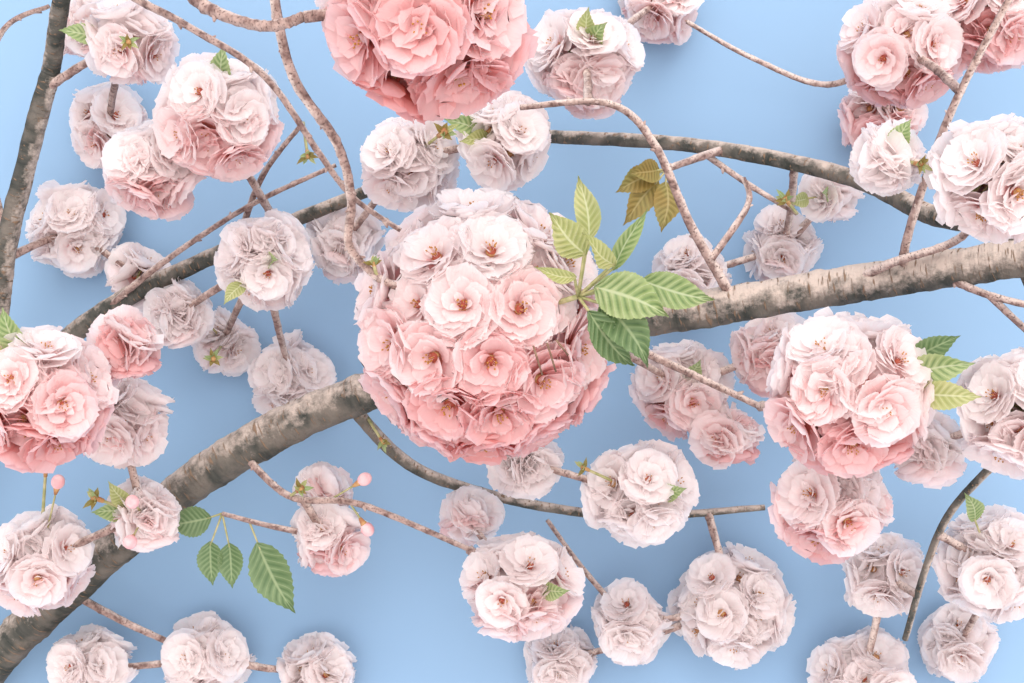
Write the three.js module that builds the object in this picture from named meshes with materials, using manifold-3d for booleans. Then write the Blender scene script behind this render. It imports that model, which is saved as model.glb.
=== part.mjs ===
// A cut flowering cherry bough, lying down: one thick bough with its side boughs and twigs, and round
// clusters of double blossom on short spurs, with tufts of young leaves.
// Millimetres, +Z up, the bough grows along +X and its side boughs fan out to +Y and -Y.

import * as THREE from "three";
import { ConvexHull } from "three/addons/math/ConvexHull.js";
import Module from "manifold-3d";

const wasm = await Module();
wasm.setup();

// Clearances and steps
const GAP = 0.3;
const LIMB_STEP = 50;
const KNOB_STEP = 20;
const TWIG_WIDTH = 6;
const SPUR_WIDTH = 7.5;
const PEDICEL_WIDTH = 2.4;
const LEAF_THICKNESS = 1.4;
const LEAF_BOW = 0.12;

// Proportions of one double bloom, as shares of its width
const BLOOM_SIDES = 8;
const RIM_POINTS = 4;
const BLOOM_CUP = -0.34;
const BLOOM_SHOULDER = { out: 0.4, up: -0.12 };
const BLOOM_RIM = { out: 0.46, up: 0.1 };
const BLOOM_EYE = 0.0;
const BLOOM_RUFFLE = 0.07;
const HOLLOW = -0.26;

// Boughs and twigs. Each runs through its points, from its root on the parent to its tip. Side twigs
// are fused on and start at a point of the path.
const LIMBS = {
  main_bough: {
    width: [38, 27],
    sides: 10,
    path: [
      [-518, -348, 17.6], [-390, -220, 58], [-215, -85, 110],
      [-5, -5, 160], [240, 40, 225], [402, 66, 310],
    ],
  },
  left_bough: {
    on: "main_bough",
    width: [28, 15],
    sides: 8,
    path: [[-495, -320, 30], [-492, -190, 52], [-447, -50, 78], [-418, 84, 105], [-365, 215, 162]],
    twigs: [[[-418, 84, 105], [-428, 180, 140], [-405, 245, 160], [-362, 262, 178]]],
  },
  top_bough: {
    on: "left_bough",
    width: [15, 9],
    sides: 7,
    path: [[-365, 215, 162], [-318, 285, 250], [-212, 287, 370], [-118, 275, 452]],
  },
  upper_left_bough: {
    on: "left_bough",
    width: [21, 10],
    sides: 7,
    path: [[-459, -85, 70], [-362, 15, 76], [-240, 76, 95], [-118, 124, 116]],
    twigs: [
      [[-230, 80, 97], [-201, 134, 140], [-167, 175, 150]],
      [[-348, 24, 78], [-287, 66, 110], [-212, 110, 136], [-141, 141, 150]],
    ],
  },
  gnarled_spur: {
    on: "top_bough",
    width: [9, 6],
    sides: 6,
    knobs: 0.22,
    path: [[-224, 286, 356], [-212, 238, 420], [-187, 203, 458], [-147, 185, 478], [-121, 189, 485]],
  },
  hanging_twig: {
    on: "top_bough",
    width: [7.4, 5.6],
    sides: 6,
    knobs: 0.14,
    path: [
      [-154, 279, 424], [-154, 242, 405], [-143, 175, 385],
      [-115, 130, 368], [-107, 95, 357], [-109, 64, 350],
      [-91, 43, 340],
    ],
  },
  long_twig: {
    on: "top_bough",
    width: [6, 3.4],
    sides: 6,
    path: [
      [-270, 282, 304], [-266, 243, 330], [-223, 215, 345],
      [-167, 179, 352], [-130, 127, 346], [-108, 98, 336],
      [-76, 76, 330],
    ],
  },
  arched_twig: {
    on: "main_bough",
    width: [8.2, 4.4],
    sides: 6,
    path: [[172, 27, 208], [133, 87, 235], [104, 145, 253], [70, 173, 262], [6, 172, 250]],
    twigs: [[[150, 62, 224], [176, 102, 232], [172, 122, 236]]],
  },
  upper_right_bough: {
    on: "main_bough",
    width: [19, 11],
    sides: 8,
    path: [
      [376, 60, 294], [350, 82, 272], [314, 96, 225],
      [267, 130, 165], [156, 162, 104], [31, 177, 52],
    ],
    twigs: [[[150, 163, 102], [192, 130, 120], [232, 104, 128]]],
  },
  upright_twig: {
    on: "main_bough",
    width: [7.4, 4.6],
    sides: 6,
    path: [[288, 46, 246], [286, 74, 266], [310, 160, 290], [345, 236, 310], [362, 268, 320]],
  },
  right_twig: {
    on: "main_bough",
    width: [7, 4.4],
    sides: 6,
    path: [[308, 46, 256], [340, 33, 284], [396, 18, 304]],
    twigs: [[[340, 33, 284], [372, 4, 282], [398, -12, 276]]],
  },
  lower_twig: {
    on: "main_bough",
    width: [7, 5],
    sides: 6,
    path: [[75, 8, 180], [99, -7, 208], [138, -26, 226], [183, -48, 244]],
  },
  lower_bough: {
    on: "main_bough",
    width: [12, 5.6],
    sides: 6,
    path: [[-130, -52, 136], [-70, -110, 105], [75, -146, 84], [216, -142, 64]],
  },
  lower_left_twig: {
    on: "main_bough",
    width: [6.4, 4.4],
    sides: 6,
    path: [[-228, -94, 108], [-178, -124, 148], [-120, -129, 162], [-34, -164, 165]],
  },
  right_drop_bough: {
    on: "main_bough",
    width: [10, 5],
    sides: 6,
    path: [[362, 56, 288], [387, 6, 262], [390, -60, 224], [340, -140, 174], [322, -244, 120]],
  },
};

// Blossom clusters. A lobe is its centre and its reach; a centre height of 0 sets the lobe on the
// ground. The spur runs from the named limb to the first lobe, and on to the others. A leaf is the
// place of its tip and its width.
const CLUSTERS = {
  top_cluster: {
    on: "gnarled_spur",
    at: 1,
    bloom: 56,
    lobes: [[-50, 196, 468, 70]],
  },
  right_cluster: {
    on: "lower_twig",
    at: 1,
    bloom: 46,
    lobes: [[231, -34, 330, 62], [232, -116, 268, 47]],
    leaves: [[304, -14, 372, 20], [306, -36, 380, 18], [296, 4, 366, 16]],
  },
  far_right_cluster: {
    on: "right_twig",
    bloom: 46,
    lobes: [[350, -46, 322, 50], [306, -76, 252, 32]],
  },
  right_upper_cluster: {
    on: "main_bough",
    by: [[276, 57, 262], [318, 74, 290]],
    bloom: 46,
    lobes: [[308, 104, 402, 48], [252, 122, 350, 28]],
    leaves: [[262, 146, 372, 14], [276, 96, 380, 13]],
  },
  under_bough_cluster: {
    on: "main_bough",
    bloom: 44,
    lobes: [[141, -37, 108, 45], [212, -8, 128, 38], [176, -78, 130, 32]],
    leaves: [[150, -14, 158, 14]],
  },
  top_right_cluster: {
    on: "upright_twig",
    bloom: 44,
    lobes: [[302, 226, 190, 52], [368, 250, 196, 48], [322, 196, 0, 42]],
    twigs: [[[302, 226, 190], [252, 204, 160], [195, 228, 140], [142, 260, 130]]],
  },
  upper_cluster: {
    on: "arched_twig",
    bloom: 44,
    lobes: [[58, 220, 176, 48], [128, 297, 0, 42]],
    leaves: [[72, 240, 226, 16], [58, 252, 224, 14]],
  },
  behind_bough_cluster: {
    on: "upper_right_bough",
    bloom: 42,
    lobes: [[238, 82, 0, 38], [270, 124, 74, 30], [152, 56, 60, 38]],
    leaves: [[254, 122, 118, 12], [226, 116, 108, 12]],
  },
  bronze_shoot: {
    on: "upper_right_bough",
    bloom: 0,
    lobes: [[124, 138, 150, 9]],
    leaves: [[82, 118, 160, 20], [88, 92, 158, 20], [118, 86, 164, 22], [92, 132, 168, 18]],
  },
  behind_top_cluster: {
    on: "upper_left_bough",
    at: 1,
    bloom: 44,
    lobes: [[-80, 142, 176, 44], [-6, 155, 200, 42], [-139, 84, 96, 38]],
    leaves: [[-52, 168, 222, 16], [-40, 150, 226, 13]],
  },
  upper_left_cluster: {
    on: "upper_left_bough",
    bloom: 44,
    lobes: [[-222, 170, 214, 54], [-278, 134, 188, 43]],
    leaves: [[-210, 218, 254, 16]],
  },
  corner_cluster: {
    on: "left_bough",
    bloom: 44,
    lobes: [[-292, 232, 196, 40], [-352, 190, 0, 42], [-356, 262, 96, 34]],
    leaves: [[-344, 236, 214, 15]],
  },
  left_edge_cluster: {
    on: "left_bough",
    bloom: 46,
    lobes: [[-331, -38, 300, 55], [-284, -4, 250, 31]],
    leaves: [[-352, 24, 318, 16], [-372, 12, 330, 15]],
  },
  pale_left_cluster: {
    on: "left_bough",
    bloom: 43,
    lobes: [[-380, 98, 0, 46], [-322, 56, 60, 34]],
  },
  mid_left_cluster: {
    on: "upper_left_bough",
    bloom: 42,
    lobes: [[-196, 64, 160, 44], [-192, -32, 0, 42], [-254, 0, 0, 34], [-278, 24, 92, 32]],
    leaves: [[-178, 62, 208, 12], [-222, 28, 196, 12]],
  },
  left_low_cluster: {
    on: "main_bough",
    bloom: 44,
    lobes: [[-288, -136, 176, 34], [-300, -60, 192, 40], [-372, -172, 166, 46]],
    leaves: [[-326, -132, 190, 15], [-308, -106, 208, 13]],
  },
  hanging_cluster: {
    on: "lower_left_twig",
    bloom: 42,
    lobes: [[-150, -160, 124, 36], [-156, -124, 106, 27]],
    twigs: [[[-150, -160, 124], [-196, -150, 130], [-236, -140, 128]]],
    leaves: [[-196, -196, 140, 26], [-236, -198, 142, 18], [-252, -190, 138, 18]],
  },
  bottom_left_cluster: {
    on: "main_bough",
    bloom: 43,
    lobes: [[-266, -276, 0, 43], [-364, -282, 54, 42], [-170, -290, 0, 40]],
  },
  lower_cluster: {
    on: "lower_left_twig",
    at: 1,
    bloom: 44,
    lobes: [[6, -192, 176, 50], [-36, -146, 112, 28]],
    leaves: [[44, -188, 218, 14]],
  },
  lower_mid_cluster: {
    on: "lower_bough",
    bloom: 44,
    lobes: [[101, -120, 162, 47], [10, -96, 152, 33]],
    leaves: [[134, -112, 204, 14]],
  },
  bottom_mid_cluster: {
    on: "lower_bough",
    bloom: 43,
    lobes: [[190, -228, 0, 57], [102, -242, 62, 39], [44, -280, 0, 38]],
    twigs: [[[102, -242, 62], [62, -196, 66], [30, -152, 70]]],
  },
  bottom_right_cluster: {
    on: "right_drop_bough",
    bloom: 42,
    lobes: [[313, -196, 84, 40], [303, -294, 0, 50]],
  },
  right_bottom_cluster: {
    on: "right_drop_bough",
    bloom: 44,
    lobes: [[384, -178, 150, 50], [392, -264, 0, 38]],
    leaves: [[348, -116, 196, 14]],
  },
};

// The large middle cluster: bloom centres lie on the front of an egg shape round its centre, each so
// far right of it and above it, and a rear half is filled in by rule.
const MIDDLE = {
  on: "hanging_twig",
  centre: [-21, 11, 292],
  reach: [88, 94, 80],
  core: 40,
  bloom: 54,
  front: [
    [-34, 52], [-13, 15], [30, 12], [-68, -14], [-36, -24], [8, -27], [46, -42],
    [74, -18], [-24, -60], [14, -66], [-80, 26], [-66, -54], [-40, -82], [2, -90],
    [42, -80], [8, 56], [47, 70], [-6, 88], [64, 46], [78, -52],
  ],
  rear: 18,
};

// The leaf tuft beside it: a short shoot, and leaves told by blade root, tip and width.
const TUFT = {
  shoot: [44, 30, 358],
  leaves: [
    [[49, 57, 368], [24, 84, 380], 22],
    [[51, 66, 362], [44, 110, 360], 16],
    [[68, 50, 372], [45, 70, 392], 13],
    [[67, 47, 362], [89, 87, 372], 12],
    [[86, 41, 354], [135, 28, 358], 22],
    [[54, 36, 368], [102, 16, 380], 30],
    [[59, 27, 364], [89, -17, 372], 26],
    [[50, 20, 372], [82, -16, 352], 20],
    [[42, 42, 380], [14, 48, 392], 9],
  ],
};

// Repeatable random numbers
function seeded(name) {
  let state = 2166136261;
  for (const letter of name) {
    state = Math.imul(state ^ letter.charCodeAt(0), 16777619) >>> 0;
  }
  return () => {
    state = (state + 0x6d2b79f5) >>> 0;
    let t = state;
    t = Math.imul(t ^ (t >>> 15), t | 1);
    t ^= t + Math.imul(t ^ (t >>> 7), t | 61);
    return ((t ^ (t >>> 14)) >>> 0) / 4294967296;
  };
}

const vector = ([x, y, z]) => new THREE.Vector3(x, y, z);

function closedSolid(points, faces) {
  return new wasm.Manifold(
    new wasm.Mesh({
      numProp: 3,
      vertProperties: new Float32Array(points.flatMap((p) => [p.x, p.y, p.z])),
      triVerts: new Uint32Array(faces.flat()),
    }),
  );
}

// One closed solid from rings of equal size, with a fan from the start point and one to the end point
function skin(start, rings, end) {
  const sides = rings[0].length;
  const points = [start, ...rings.flat(), end];
  const faces = [];
  const ring = (level, side) => 1 + level * sides + (side % sides);
  for (let side = 0; side < sides; side += 1) {
    faces.push([0, ring(0, side + 1), ring(0, side)]);
    for (let level = 0; level + 1 < rings.length; level += 1) {
      faces.push([ring(level, side), ring(level, side + 1), ring(level + 1, side + 1)]);
      faces.push([ring(level, side), ring(level + 1, side + 1), ring(level + 1, side)]);
    }
    const top = rings.length - 1;
    faces.push([ring(top, side), ring(top, side + 1), points.length - 1]);
  }
  return closedSolid(points, faces);
}

// Two directions square to an axis, so that first, second and axis are right-handed
function across(axis, roll = 0) {
  const guide = Math.abs(axis.z) < 0.9 ? new THREE.Vector3(0, 0, 1) : new THREE.Vector3(1, 0, 0);
  const first = new THREE.Vector3().crossVectors(guide, axis).normalize();
  first.applyAxisAngle(axis, roll);
  return [first, new THREE.Vector3().crossVectors(axis, first)];
}

function ringAt(centre, axis, radius, sides, roll = 0) {
  const [first, second] = across(axis, roll);
  return Array.from({ length: sides }, (_, side) => {
    const turn = (side / sides) * 2 * Math.PI;
    const out = typeof radius === "function" ? radius(side) : radius;
    return centre
      .clone()
      .addScaledVector(first, out * Math.cos(turn))
      .addScaledVector(second, out * Math.sin(turn));
  });
}

// A smooth path through points: the place at a share of its length in spans
function along(path, share) {
  const spans = path.length - 1;
  const span = Math.min(Math.floor(share * spans), spans - 1);
  const t = share * spans - span;
  const pick = (index) => path[Math.max(0, Math.min(spans, index))];
  const [a, b, c, d] = [pick(span - 1), pick(span), pick(span + 1), pick(span + 2)];
  const value = (i) =>
    0.5 *
    (2 * b[i] +
      (c[i] - a[i]) * t +
      (2 * a[i] - 5 * b[i] + 4 * c[i] - d[i]) * t * t +
      (3 * b[i] - a[i] - 3 * c[i] + d[i]) * t * t * t);
  return new THREE.Vector3(value(0), value(1), value(2));
}

function direction(path, share) {
  const ahead = along(path, Math.min(1, share + 0.01));
  return ahead.sub(along(path, Math.max(0, share - 0.01))).normalize();
}

function pathLength(path) {
  let sum = 0;
  for (let i = 1; i < path.length; i += 1) sum += vector(path[i]).distanceTo(vector(path[i - 1]));
  return sum;
}

// A tapering limb. Extra thickness makes the copy that clears room round it.
function limbSolid(name, { path, width, sides, knobs = 0 }, extra = 0) {
  const random = seeded(name);
  const even = Math.round(pathLength(path) / (knobs ? KNOB_STEP : LIMB_STEP));
  const steps = path.length === 2 ? 1 : Math.max(3, even);
  const rings = [];
  const centres = [];
  let first = null;
  for (let step = 0; step <= steps; step += 1) {
    const share = step / steps;
    const axis = direction(path, share);
    const centre = along(path, share);
    if (step === 0) centre.addScaledVector(axis, -extra);
    if (step === steps) centre.addScaledVector(axis, extra);
    const swell = 1 + knobs * (random() - 0.35);
    const radius = (width[0] + (width[1] - width[0]) * share) * 0.5 * swell + extra;
    if (!first) [first] = across(axis);
    first.addScaledVector(axis, -first.dot(axis)).normalize();
    const second = new THREE.Vector3().crossVectors(axis, first);
    rings.push(
      Array.from({ length: sides }, (_, side) => {
        const turn = (side / sides) * 2 * Math.PI;
        return centre
          .clone()
          .addScaledVector(first, radius * Math.cos(turn))
          .addScaledVector(second, radius * Math.sin(turn));
      }),
    );
    centres.push(centre);
  }
  return skin(centres[0], rings, centres[steps]);
}

function twigSolid(name, path, extra = 0) {
  return limbSolid(name, { path, width: [TWIG_WIDTH, TWIG_WIDTH * 0.6], sides: 5 }, extra);
}

function boughSolid(name, limb, extra = 0) {
  let solid = limbSolid(name, limb, extra);
  for (const path of limb.twigs ?? []) solid = solid.add(twigSolid(name, path, extra));
  return solid;
}

// The largest body alone: loose scraps go, and a hollow that fusing sealed is filled
function wholeBody(solid) {
  const bodies = solid.decompose();
  return bodies.reduce((best, body) => (body.volume() > best.volume() ? body : best));
}

// One double bloom: a rounded cup, a ruffled rim and a shallow eye, opening along its axis
function bloomSolid({ centre, axis, width, roll }) {
  const at = (up) => centre.clone().addScaledVector(axis, up * width);
  const ruffle = (out) => (side) => out * width * (1 + BLOOM_RUFFLE * (side % 2 ? 1 : -1));
  const rings = [
    ringAt(at(BLOOM_SHOULDER.up), axis, BLOOM_SHOULDER.out * width, BLOOM_SIDES, roll),
    ringAt(at(BLOOM_RIM.up), axis, ruffle(BLOOM_RIM.out), BLOOM_SIDES, roll),
  ];
  return skin(at(BLOOM_CUP), rings, at(BLOOM_EYE));
}

// The triangles that join directions round a ball
function ballFaces(ways) {
  const hull = new ConvexHull().setFromPoints(ways);
  const index = new Map(ways.map((way, i) => [way, i]));
  return hull.faces.map((face) => {
    const { edge } = face;
    return [edge, edge.next, edge.next.next].map((e) => index.get(e.head().point));
  });
}

// A ball of blooms: each has an eye and a ruffled rim, with a hollow wherever three of them meet.
// A bloom that has no room stays shut, at the shut radius.
function ballOfBlooms(centre, radius, width, blooms, shut = Math.max(4, radius + HOLLOW * width)) {
  const ways = blooms.map(({ axis }) => axis);
  const reaches = blooms.map(({ open }) => (open ? radius + BLOOM_EYE * width : shut));
  const put = (point) => {
    reaches.push(point.length());
    ways.push(point.normalize());
  };
  for (const [a, b, c] of ballFaces([...ways])) {
    const way = new THREE.Vector3().add(ways[a]).add(ways[b]).add(ways[c]).normalize();
    put(way.multiplyScalar(shut));
  }
  const face = radius + BLOOM_RIM.up * width;
  for (const bloom of blooms.filter(({ open }) => open)) {
    const nearest = Math.min(
      ...blooms.filter((other) => other !== bloom).map((other) => other.axis.angleTo(bloom.axis)),
    );
    const out = Math.min(BLOOM_RIM.out * width, Math.tan(0.46 * nearest) * face);
    const rim = bloom.axis.clone().multiplyScalar(face);
    const ruffled = (side) => out * (1 + BLOOM_RUFFLE * (side % 2 ? 1 : -1));
    for (const point of ringAt(rim, bloom.axis, ruffled, RIM_POINTS, bloom.roll)) put(point);
  }
  const points = ways.map((way, i) => centre.clone().addScaledVector(way, reaches[i]));
  return closedSolid(points, ballFaces(ways));
}

function ballSolid(centre, radius) {
  const axis = new THREE.Vector3(0, 0, 1);
  const level = (up) => ringAt(centre.clone().add(new THREE.Vector3(0, 0, up * radius)), axis,
    radius * Math.sqrt(1 - up * up), 7, up);
  const pole = (up) => centre.clone().add(new THREE.Vector3(0, 0, up * radius));
  return skin(pole(-1), [level(-0.55), level(0.1), level(0.65)], pole(1));
}

// A leaf blade from root to tip, folded a little along its midrib
function leafSolid(root, tip, width, levels = 1) {
  const axis = tip.clone().sub(root).normalize();
  const [side, face] = across(axis);
  if (face.z < 0) side.negate();
  const up = new THREE.Vector3().crossVectors(axis, side);
  const rings = [];
  for (let level = 1; level <= levels; level += 1) {
    const share = levels === 1 ? 0.42 : 0.08 + (0.78 * level) / (levels + 0.5);
    const half = 0.5 * width * Math.sin(Math.PI * Math.pow(share, 0.8));
    const rise = root.distanceTo(tip) * LEAF_BOW * 4 * share * share * (1 - share);
    const middle = root.clone().lerp(tip, share).addScaledVector(up, rise);
    const edge = 0.25 * half;
    rings.push([
      middle.clone().addScaledVector(side, -half).addScaledVector(up, edge),
      middle.clone().addScaledVector(up, -LEAF_THICKNESS / 2),
      middle.clone().addScaledVector(side, half).addScaledVector(up, edge),
      middle.clone().addScaledVector(up, LEAF_THICKNESS / 2),
    ]);
  }
  return skin(root, rings, tip);
}

// Distances and reaches
function nearestShare(path, point) {
  let best = { share: 0, distance: Infinity };
  for (let step = 0; step <= 100; step += 1) {
    const distance = along(path, step / 100).distanceTo(point);
    if (distance < best.distance) best = { share: step / 100, distance };
  }
  return best;
}

function touchesLimb(point, room) {
  return Object.values(LIMBS).some(({ path, width }) => {
    const { share, distance } = nearestShare(path, point);
    return distance < room + (width[0] + (width[1] - width[0]) * share) / 2;
  });
}

const bloomRadius = (reach, bloom) =>
  Math.sqrt(reach * reach - (BLOOM_RIM.out * bloom) ** 2) - BLOOM_RIM.up * bloom;

function lobeCentre([x, y, z, reach], bloom) {
  const height = z || bloomRadius(reach, bloom) + BLOOM_RIM.up * bloom;
  return new THREE.Vector3(x, y, height);
}

// Directions spread evenly over a ball, the first one straight down
function spread(count) {
  const golden = Math.PI * (3 - Math.sqrt(5));
  return Array.from({ length: count }, (_, index) => {
    const height = -1 + (2 * index) / Math.max(1, count - 0.4);
    const out = Math.sqrt(1 - height * height);
    return new THREE.Vector3(out * Math.cos(golden * index), out * Math.sin(golden * index), height);
  });
}

// The blooms of one lobe: which way each opens, and whether a limb leaves it room
function lobeBlooms(random, centre, radius, bloom) {
  const count = Math.round(11.5 * (radius / bloom) ** 2) + 3;
  return spread(count).map((axis) => {
    const roll = random() * 2 * Math.PI;
    const place = centre.clone().addScaledVector(axis, radius);
    return { axis, roll, place, open: !touchesLimb(place, 0.36 * bloom) };
  });
}

// A spur bows a little upwards on its way
function spurMiddle(start, end) {
  const middle = start.clone().lerp(end, 0.5);
  middle.z += 0.08 * start.distanceTo(end);
  return [middle.toArray()];
}

function clusterSolid(name, cluster) {
  const { on, by = [], lobes, bloom, leaves = [], twigs = [] } = cluster;
  const centres = lobes.map((lobe) => lobeCentre(lobe, bloom));
  const { path } = LIMBS[on];
  const nearest = nearestShare(path, by.length ? vector(by[0]) : centres[0]).share;
  const root = along(path, cluster.at ?? Math.max(0.04, nearest - 0.04));
  const spur = (from, to, middle = spurMiddle(from, to)) => {
    const points = [from.toArray(), ...middle, to.toArray()];
    return limbSolid(name, { path: points, width: [SPUR_WIDTH, SPUR_WIDTH * 0.7], sides: 5 });
  };
  let solid = spur(root, centres[0], by.length ? by : undefined);
  for (const centre of centres.slice(1)) solid = solid.add(spur(centres[0], centre));
  for (const twig of twigs) solid = solid.add(twigSolid(name, twig));
  const random = seeded(name);
  lobes.forEach((lobe, index) => {
    const centre = centres[index];
    const radius = bloomRadius(lobe[3], bloom);
    const ball = bloom
      ? ballOfBlooms(centre, radius, bloom, lobeBlooms(random, centre, radius, bloom))
      : ballSolid(centre, radius);
    solid = solid.add(ball);
  });
  const starts = [...centres, ...twigs.map((twig) => vector(twig[twig.length - 1]))];
  for (const [x, y, z, width] of leaves) {
    const tip = new THREE.Vector3(x, y, z);
    const from = starts.reduce((a, b) => (a.distanceTo(tip) < b.distanceTo(tip) ? a : b));
    const foot = tip.clone().lerp(from, Math.min(0.8, (2.4 * width) / from.distanceTo(tip)));
    solid = solid.add(leafSolid(foot, tip, width));
    solid = solid.add(petiole(from, foot, tip));
  }
  return solid;
}

// A thin stalk that ends inside the blade
function petiole(from, root, tip) {
  const end = root.clone().lerp(tip, 0.2);
  const width = [PEDICEL_WIDTH * 1.2, PEDICEL_WIDTH * 0.8];
  return limbSolid("petiole", { path: [from.toArray(), end.toArray()], width, sides: 4 });
}

// The middle cluster's blooms, front ones first
function middleBlooms() {
  const { centre, reach, front, rear, bloom } = MIDDLE;
  const random = seeded("middle_cluster");
  const heart = vector(centre);
  const [rx, ry, rz] = reach;
  const place = (x, y, z) => {
    const axis = new THREE.Vector3(x / rx, y / ry, z / rz).normalize();
    const width = bloom * (0.96 + 0.1 * random());
    return { centre: heart.clone().add(new THREE.Vector3(x, y, z)), axis, width, roll: 6 * random() };
  };
  const near = front.map(([x, y]) => {
    const left = 1 - (x / rx) ** 2 - (y / ry) ** 2;
    return place(x, y, rz * Math.sqrt(Math.max(0, left)));
  });
  const far = spread(rear * 2).map((axis) => {
    const open = place(axis.x * rx, axis.y * ry, axis.z * rz);
    const free = near.every(({ centre: other }) => other.distanceTo(open.centre) > 0.8 * bloom);
    const room = free && axis.z < 0 && !touchesLimb(open.centre, 0.36 * bloom);
    return { ...open, axis, open: room };
  });
  return { heart, near, far };
}

// Each solid keeps its side of the plane midway between its centre and a neighbour's
function keepSide(solid, own, other) {
  const normal = own.clone().sub(other).normalize();
  const middle = own.clone().add(other).multiplyScalar(0.5);
  return solid.trimByPlane(normal.toArray(), normal.dot(middle) + GAP / 2);
}

function middleSolids() {
  const { heart, near, far } = middleBlooms();
  const solids = {};
  const { path, width } = LIMBS[MIDDLE.on];
  let core = ballOfBlooms(heart, MIDDLE.reach[2], MIDDLE.bloom, far, MIDDLE.core);
  let tuft = tuftSolid(heart).subtract(swollen(core, heart, 1 + (1.5 * GAP) / MIDDLE.core));
  const tip = along(path, 1);
  const spur = [tip.toArray(), ...spurMiddle(tip, heart), heart.toArray()];
  core = core.add(limbSolid("middle_spur", { path: spur, width: [width[1], width[1]], sides: 6 }));
  near.forEach((bloom, index) => {
    const others = near.filter((other) => {
      return other !== bloom && other.centre.distanceTo(bloom.centre) < bloom.width * 1.3;
    });
    const cut = (solid, other) => keepSide(solid, bloom.centre, other.centre);
    const number = String(index + 1).padStart(2, "0");
    solids["middle_bloom_" + number] = others.reduce(cut, bloomSolid(bloom));
    const room = bloomSolid({ ...bloom, width: bloom.width + 4 * GAP });
    core = core.subtract(room);
    tuft = tuft.subtract(room);
    const cup = bloom.centre.clone().addScaledVector(bloom.axis, BLOOM_CUP * bloom.width - GAP);
    const stalk = { path: [heart.toArray(), cup.toArray()], width: [6, PEDICEL_WIDTH], sides: 4 };
    core = core.add(limbSolid("pedicel", stalk));
  });
  solids.middle_spur = core;
  solids.middle_leaves = tuft;
  return solids;
}

// A copy grown about a centre
function swollen(solid, centre, factor) {
  const there = centre.toArray();
  return solid.translate(there.map((value) => -value)).scale(factor).translate(there);
}

function tuftSolid(heart) {
  const shoot = vector(TUFT.shoot);
  let solid = limbSolid("tuft", { path: [heart.toArray(), TUFT.shoot], width: [5, 5], sides: 5 });
  for (const [root, tip, width] of TUFT.leaves) {
    solid = solid.add(leafSolid(vector(root), vector(tip), width, 3));
    solid = solid.add(petiole(shoot, vector(root), vector(tip)));
  }
  return solid;
}

// A limb's root is moved onto the middle of its parent
function seatRoot(limb) {
  const { path } = LIMBS[limb.on];
  limb.path[0] = along(path, nearestShare(path, vector(limb.path[0])).share).toArray();
}

// Every solid, in the order it is cut clear of those before it
function allSolids() {
  const solids = {};
  const fat = {};
  for (const [name, limb] of Object.entries(LIMBS)) {
    if (limb.on) seatRoot(limb);
    let solid = boughSolid(name, limb);
    for (const other of Object.values(fat)) solid = solid.subtract(other);
    solids[name] = wholeBody(solid);
    fat[name] = boughSolid(name, limb, GAP);
  }
  for (const [name, cluster] of Object.entries(CLUSTERS)) {
    solids[name] = clusterSolid(name, cluster);
  }
  Object.assign(solids, middleSolids());
  for (const name of Object.keys(solids)) {
    if (name in LIMBS) continue;
    for (const other of Object.values(fat)) solids[name] = solids[name].subtract(other);
    solids[name] = wholeBody(solids[name]);
  }
  return solids;
}

// Materials by kind of node
const BARK = { color: 0x6f625c, roughness: 0.88, metalness: 0 };
const BLOSSOM = { color: 0xf6cdd2, roughness: 0.72, metalness: 0 };
const LEAF = { color: 0x86a24c, roughness: 0.6, metalness: 0 };

function materialOf(name) {
  if (name in LIMBS) return new THREE.MeshStandardMaterial(BARK);
  const leafy = name === "middle_leaves" || name === "bronze_shoot";
  return new THREE.MeshStandardMaterial(leafy ? LEAF : BLOSSOM);
}

function geometryOf(solid) {
  const { vertProperties, triVerts, numProp } = solid.getMesh();
  const geometry = new THREE.BufferGeometry();
  const points = new Float32Array((vertProperties.length / numProp) * 3);
  for (let i = 0; i * 3 < points.length; i += 1) {
    points.set(vertProperties.subarray(i * numProp, i * numProp + 3), i * 3);
  }
  geometry.setAttribute("position", new THREE.BufferAttribute(points, 3));
  geometry.setIndex(new THREE.BufferAttribute(new Uint32Array(triVerts), 1));
  return geometry;
}

// The whole object, set with the middle of its underside at the origin
const bough = new THREE.Group();
bough.name = "flowering_bough";
for (const [name, solid] of Object.entries(allSolids())) {
  const mesh = new THREE.Mesh(geometryOf(solid), materialOf(name));
  mesh.name = name;
  bough.add(mesh);
}
const box = new THREE.Box3().setFromObject(bough);
const middle = box.getCenter(new THREE.Vector3());
const shift = new THREE.Vector3(-middle.x, -middle.y, -box.min.z);
for (const mesh of bough.children) mesh.geometry.translate(shift.x, shift.y, shift.z);

export default bough;
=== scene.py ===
# %% [markdown]
# # A cut cherry bough in double blossom
# The piece is a bough sawn from a cherry tree in full flower. It lies on a pale floor and the camera
# looks straight down on it, as one looks up into the crown. Everything is built round the packed
# solids, which are loaded first and never changed: each solid tells how far its piece may reach.

# %% Load the fixed frame
import math

import bmesh
import bpy
import numpy as np
from mathutils import Matrix, Vector, noise


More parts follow.
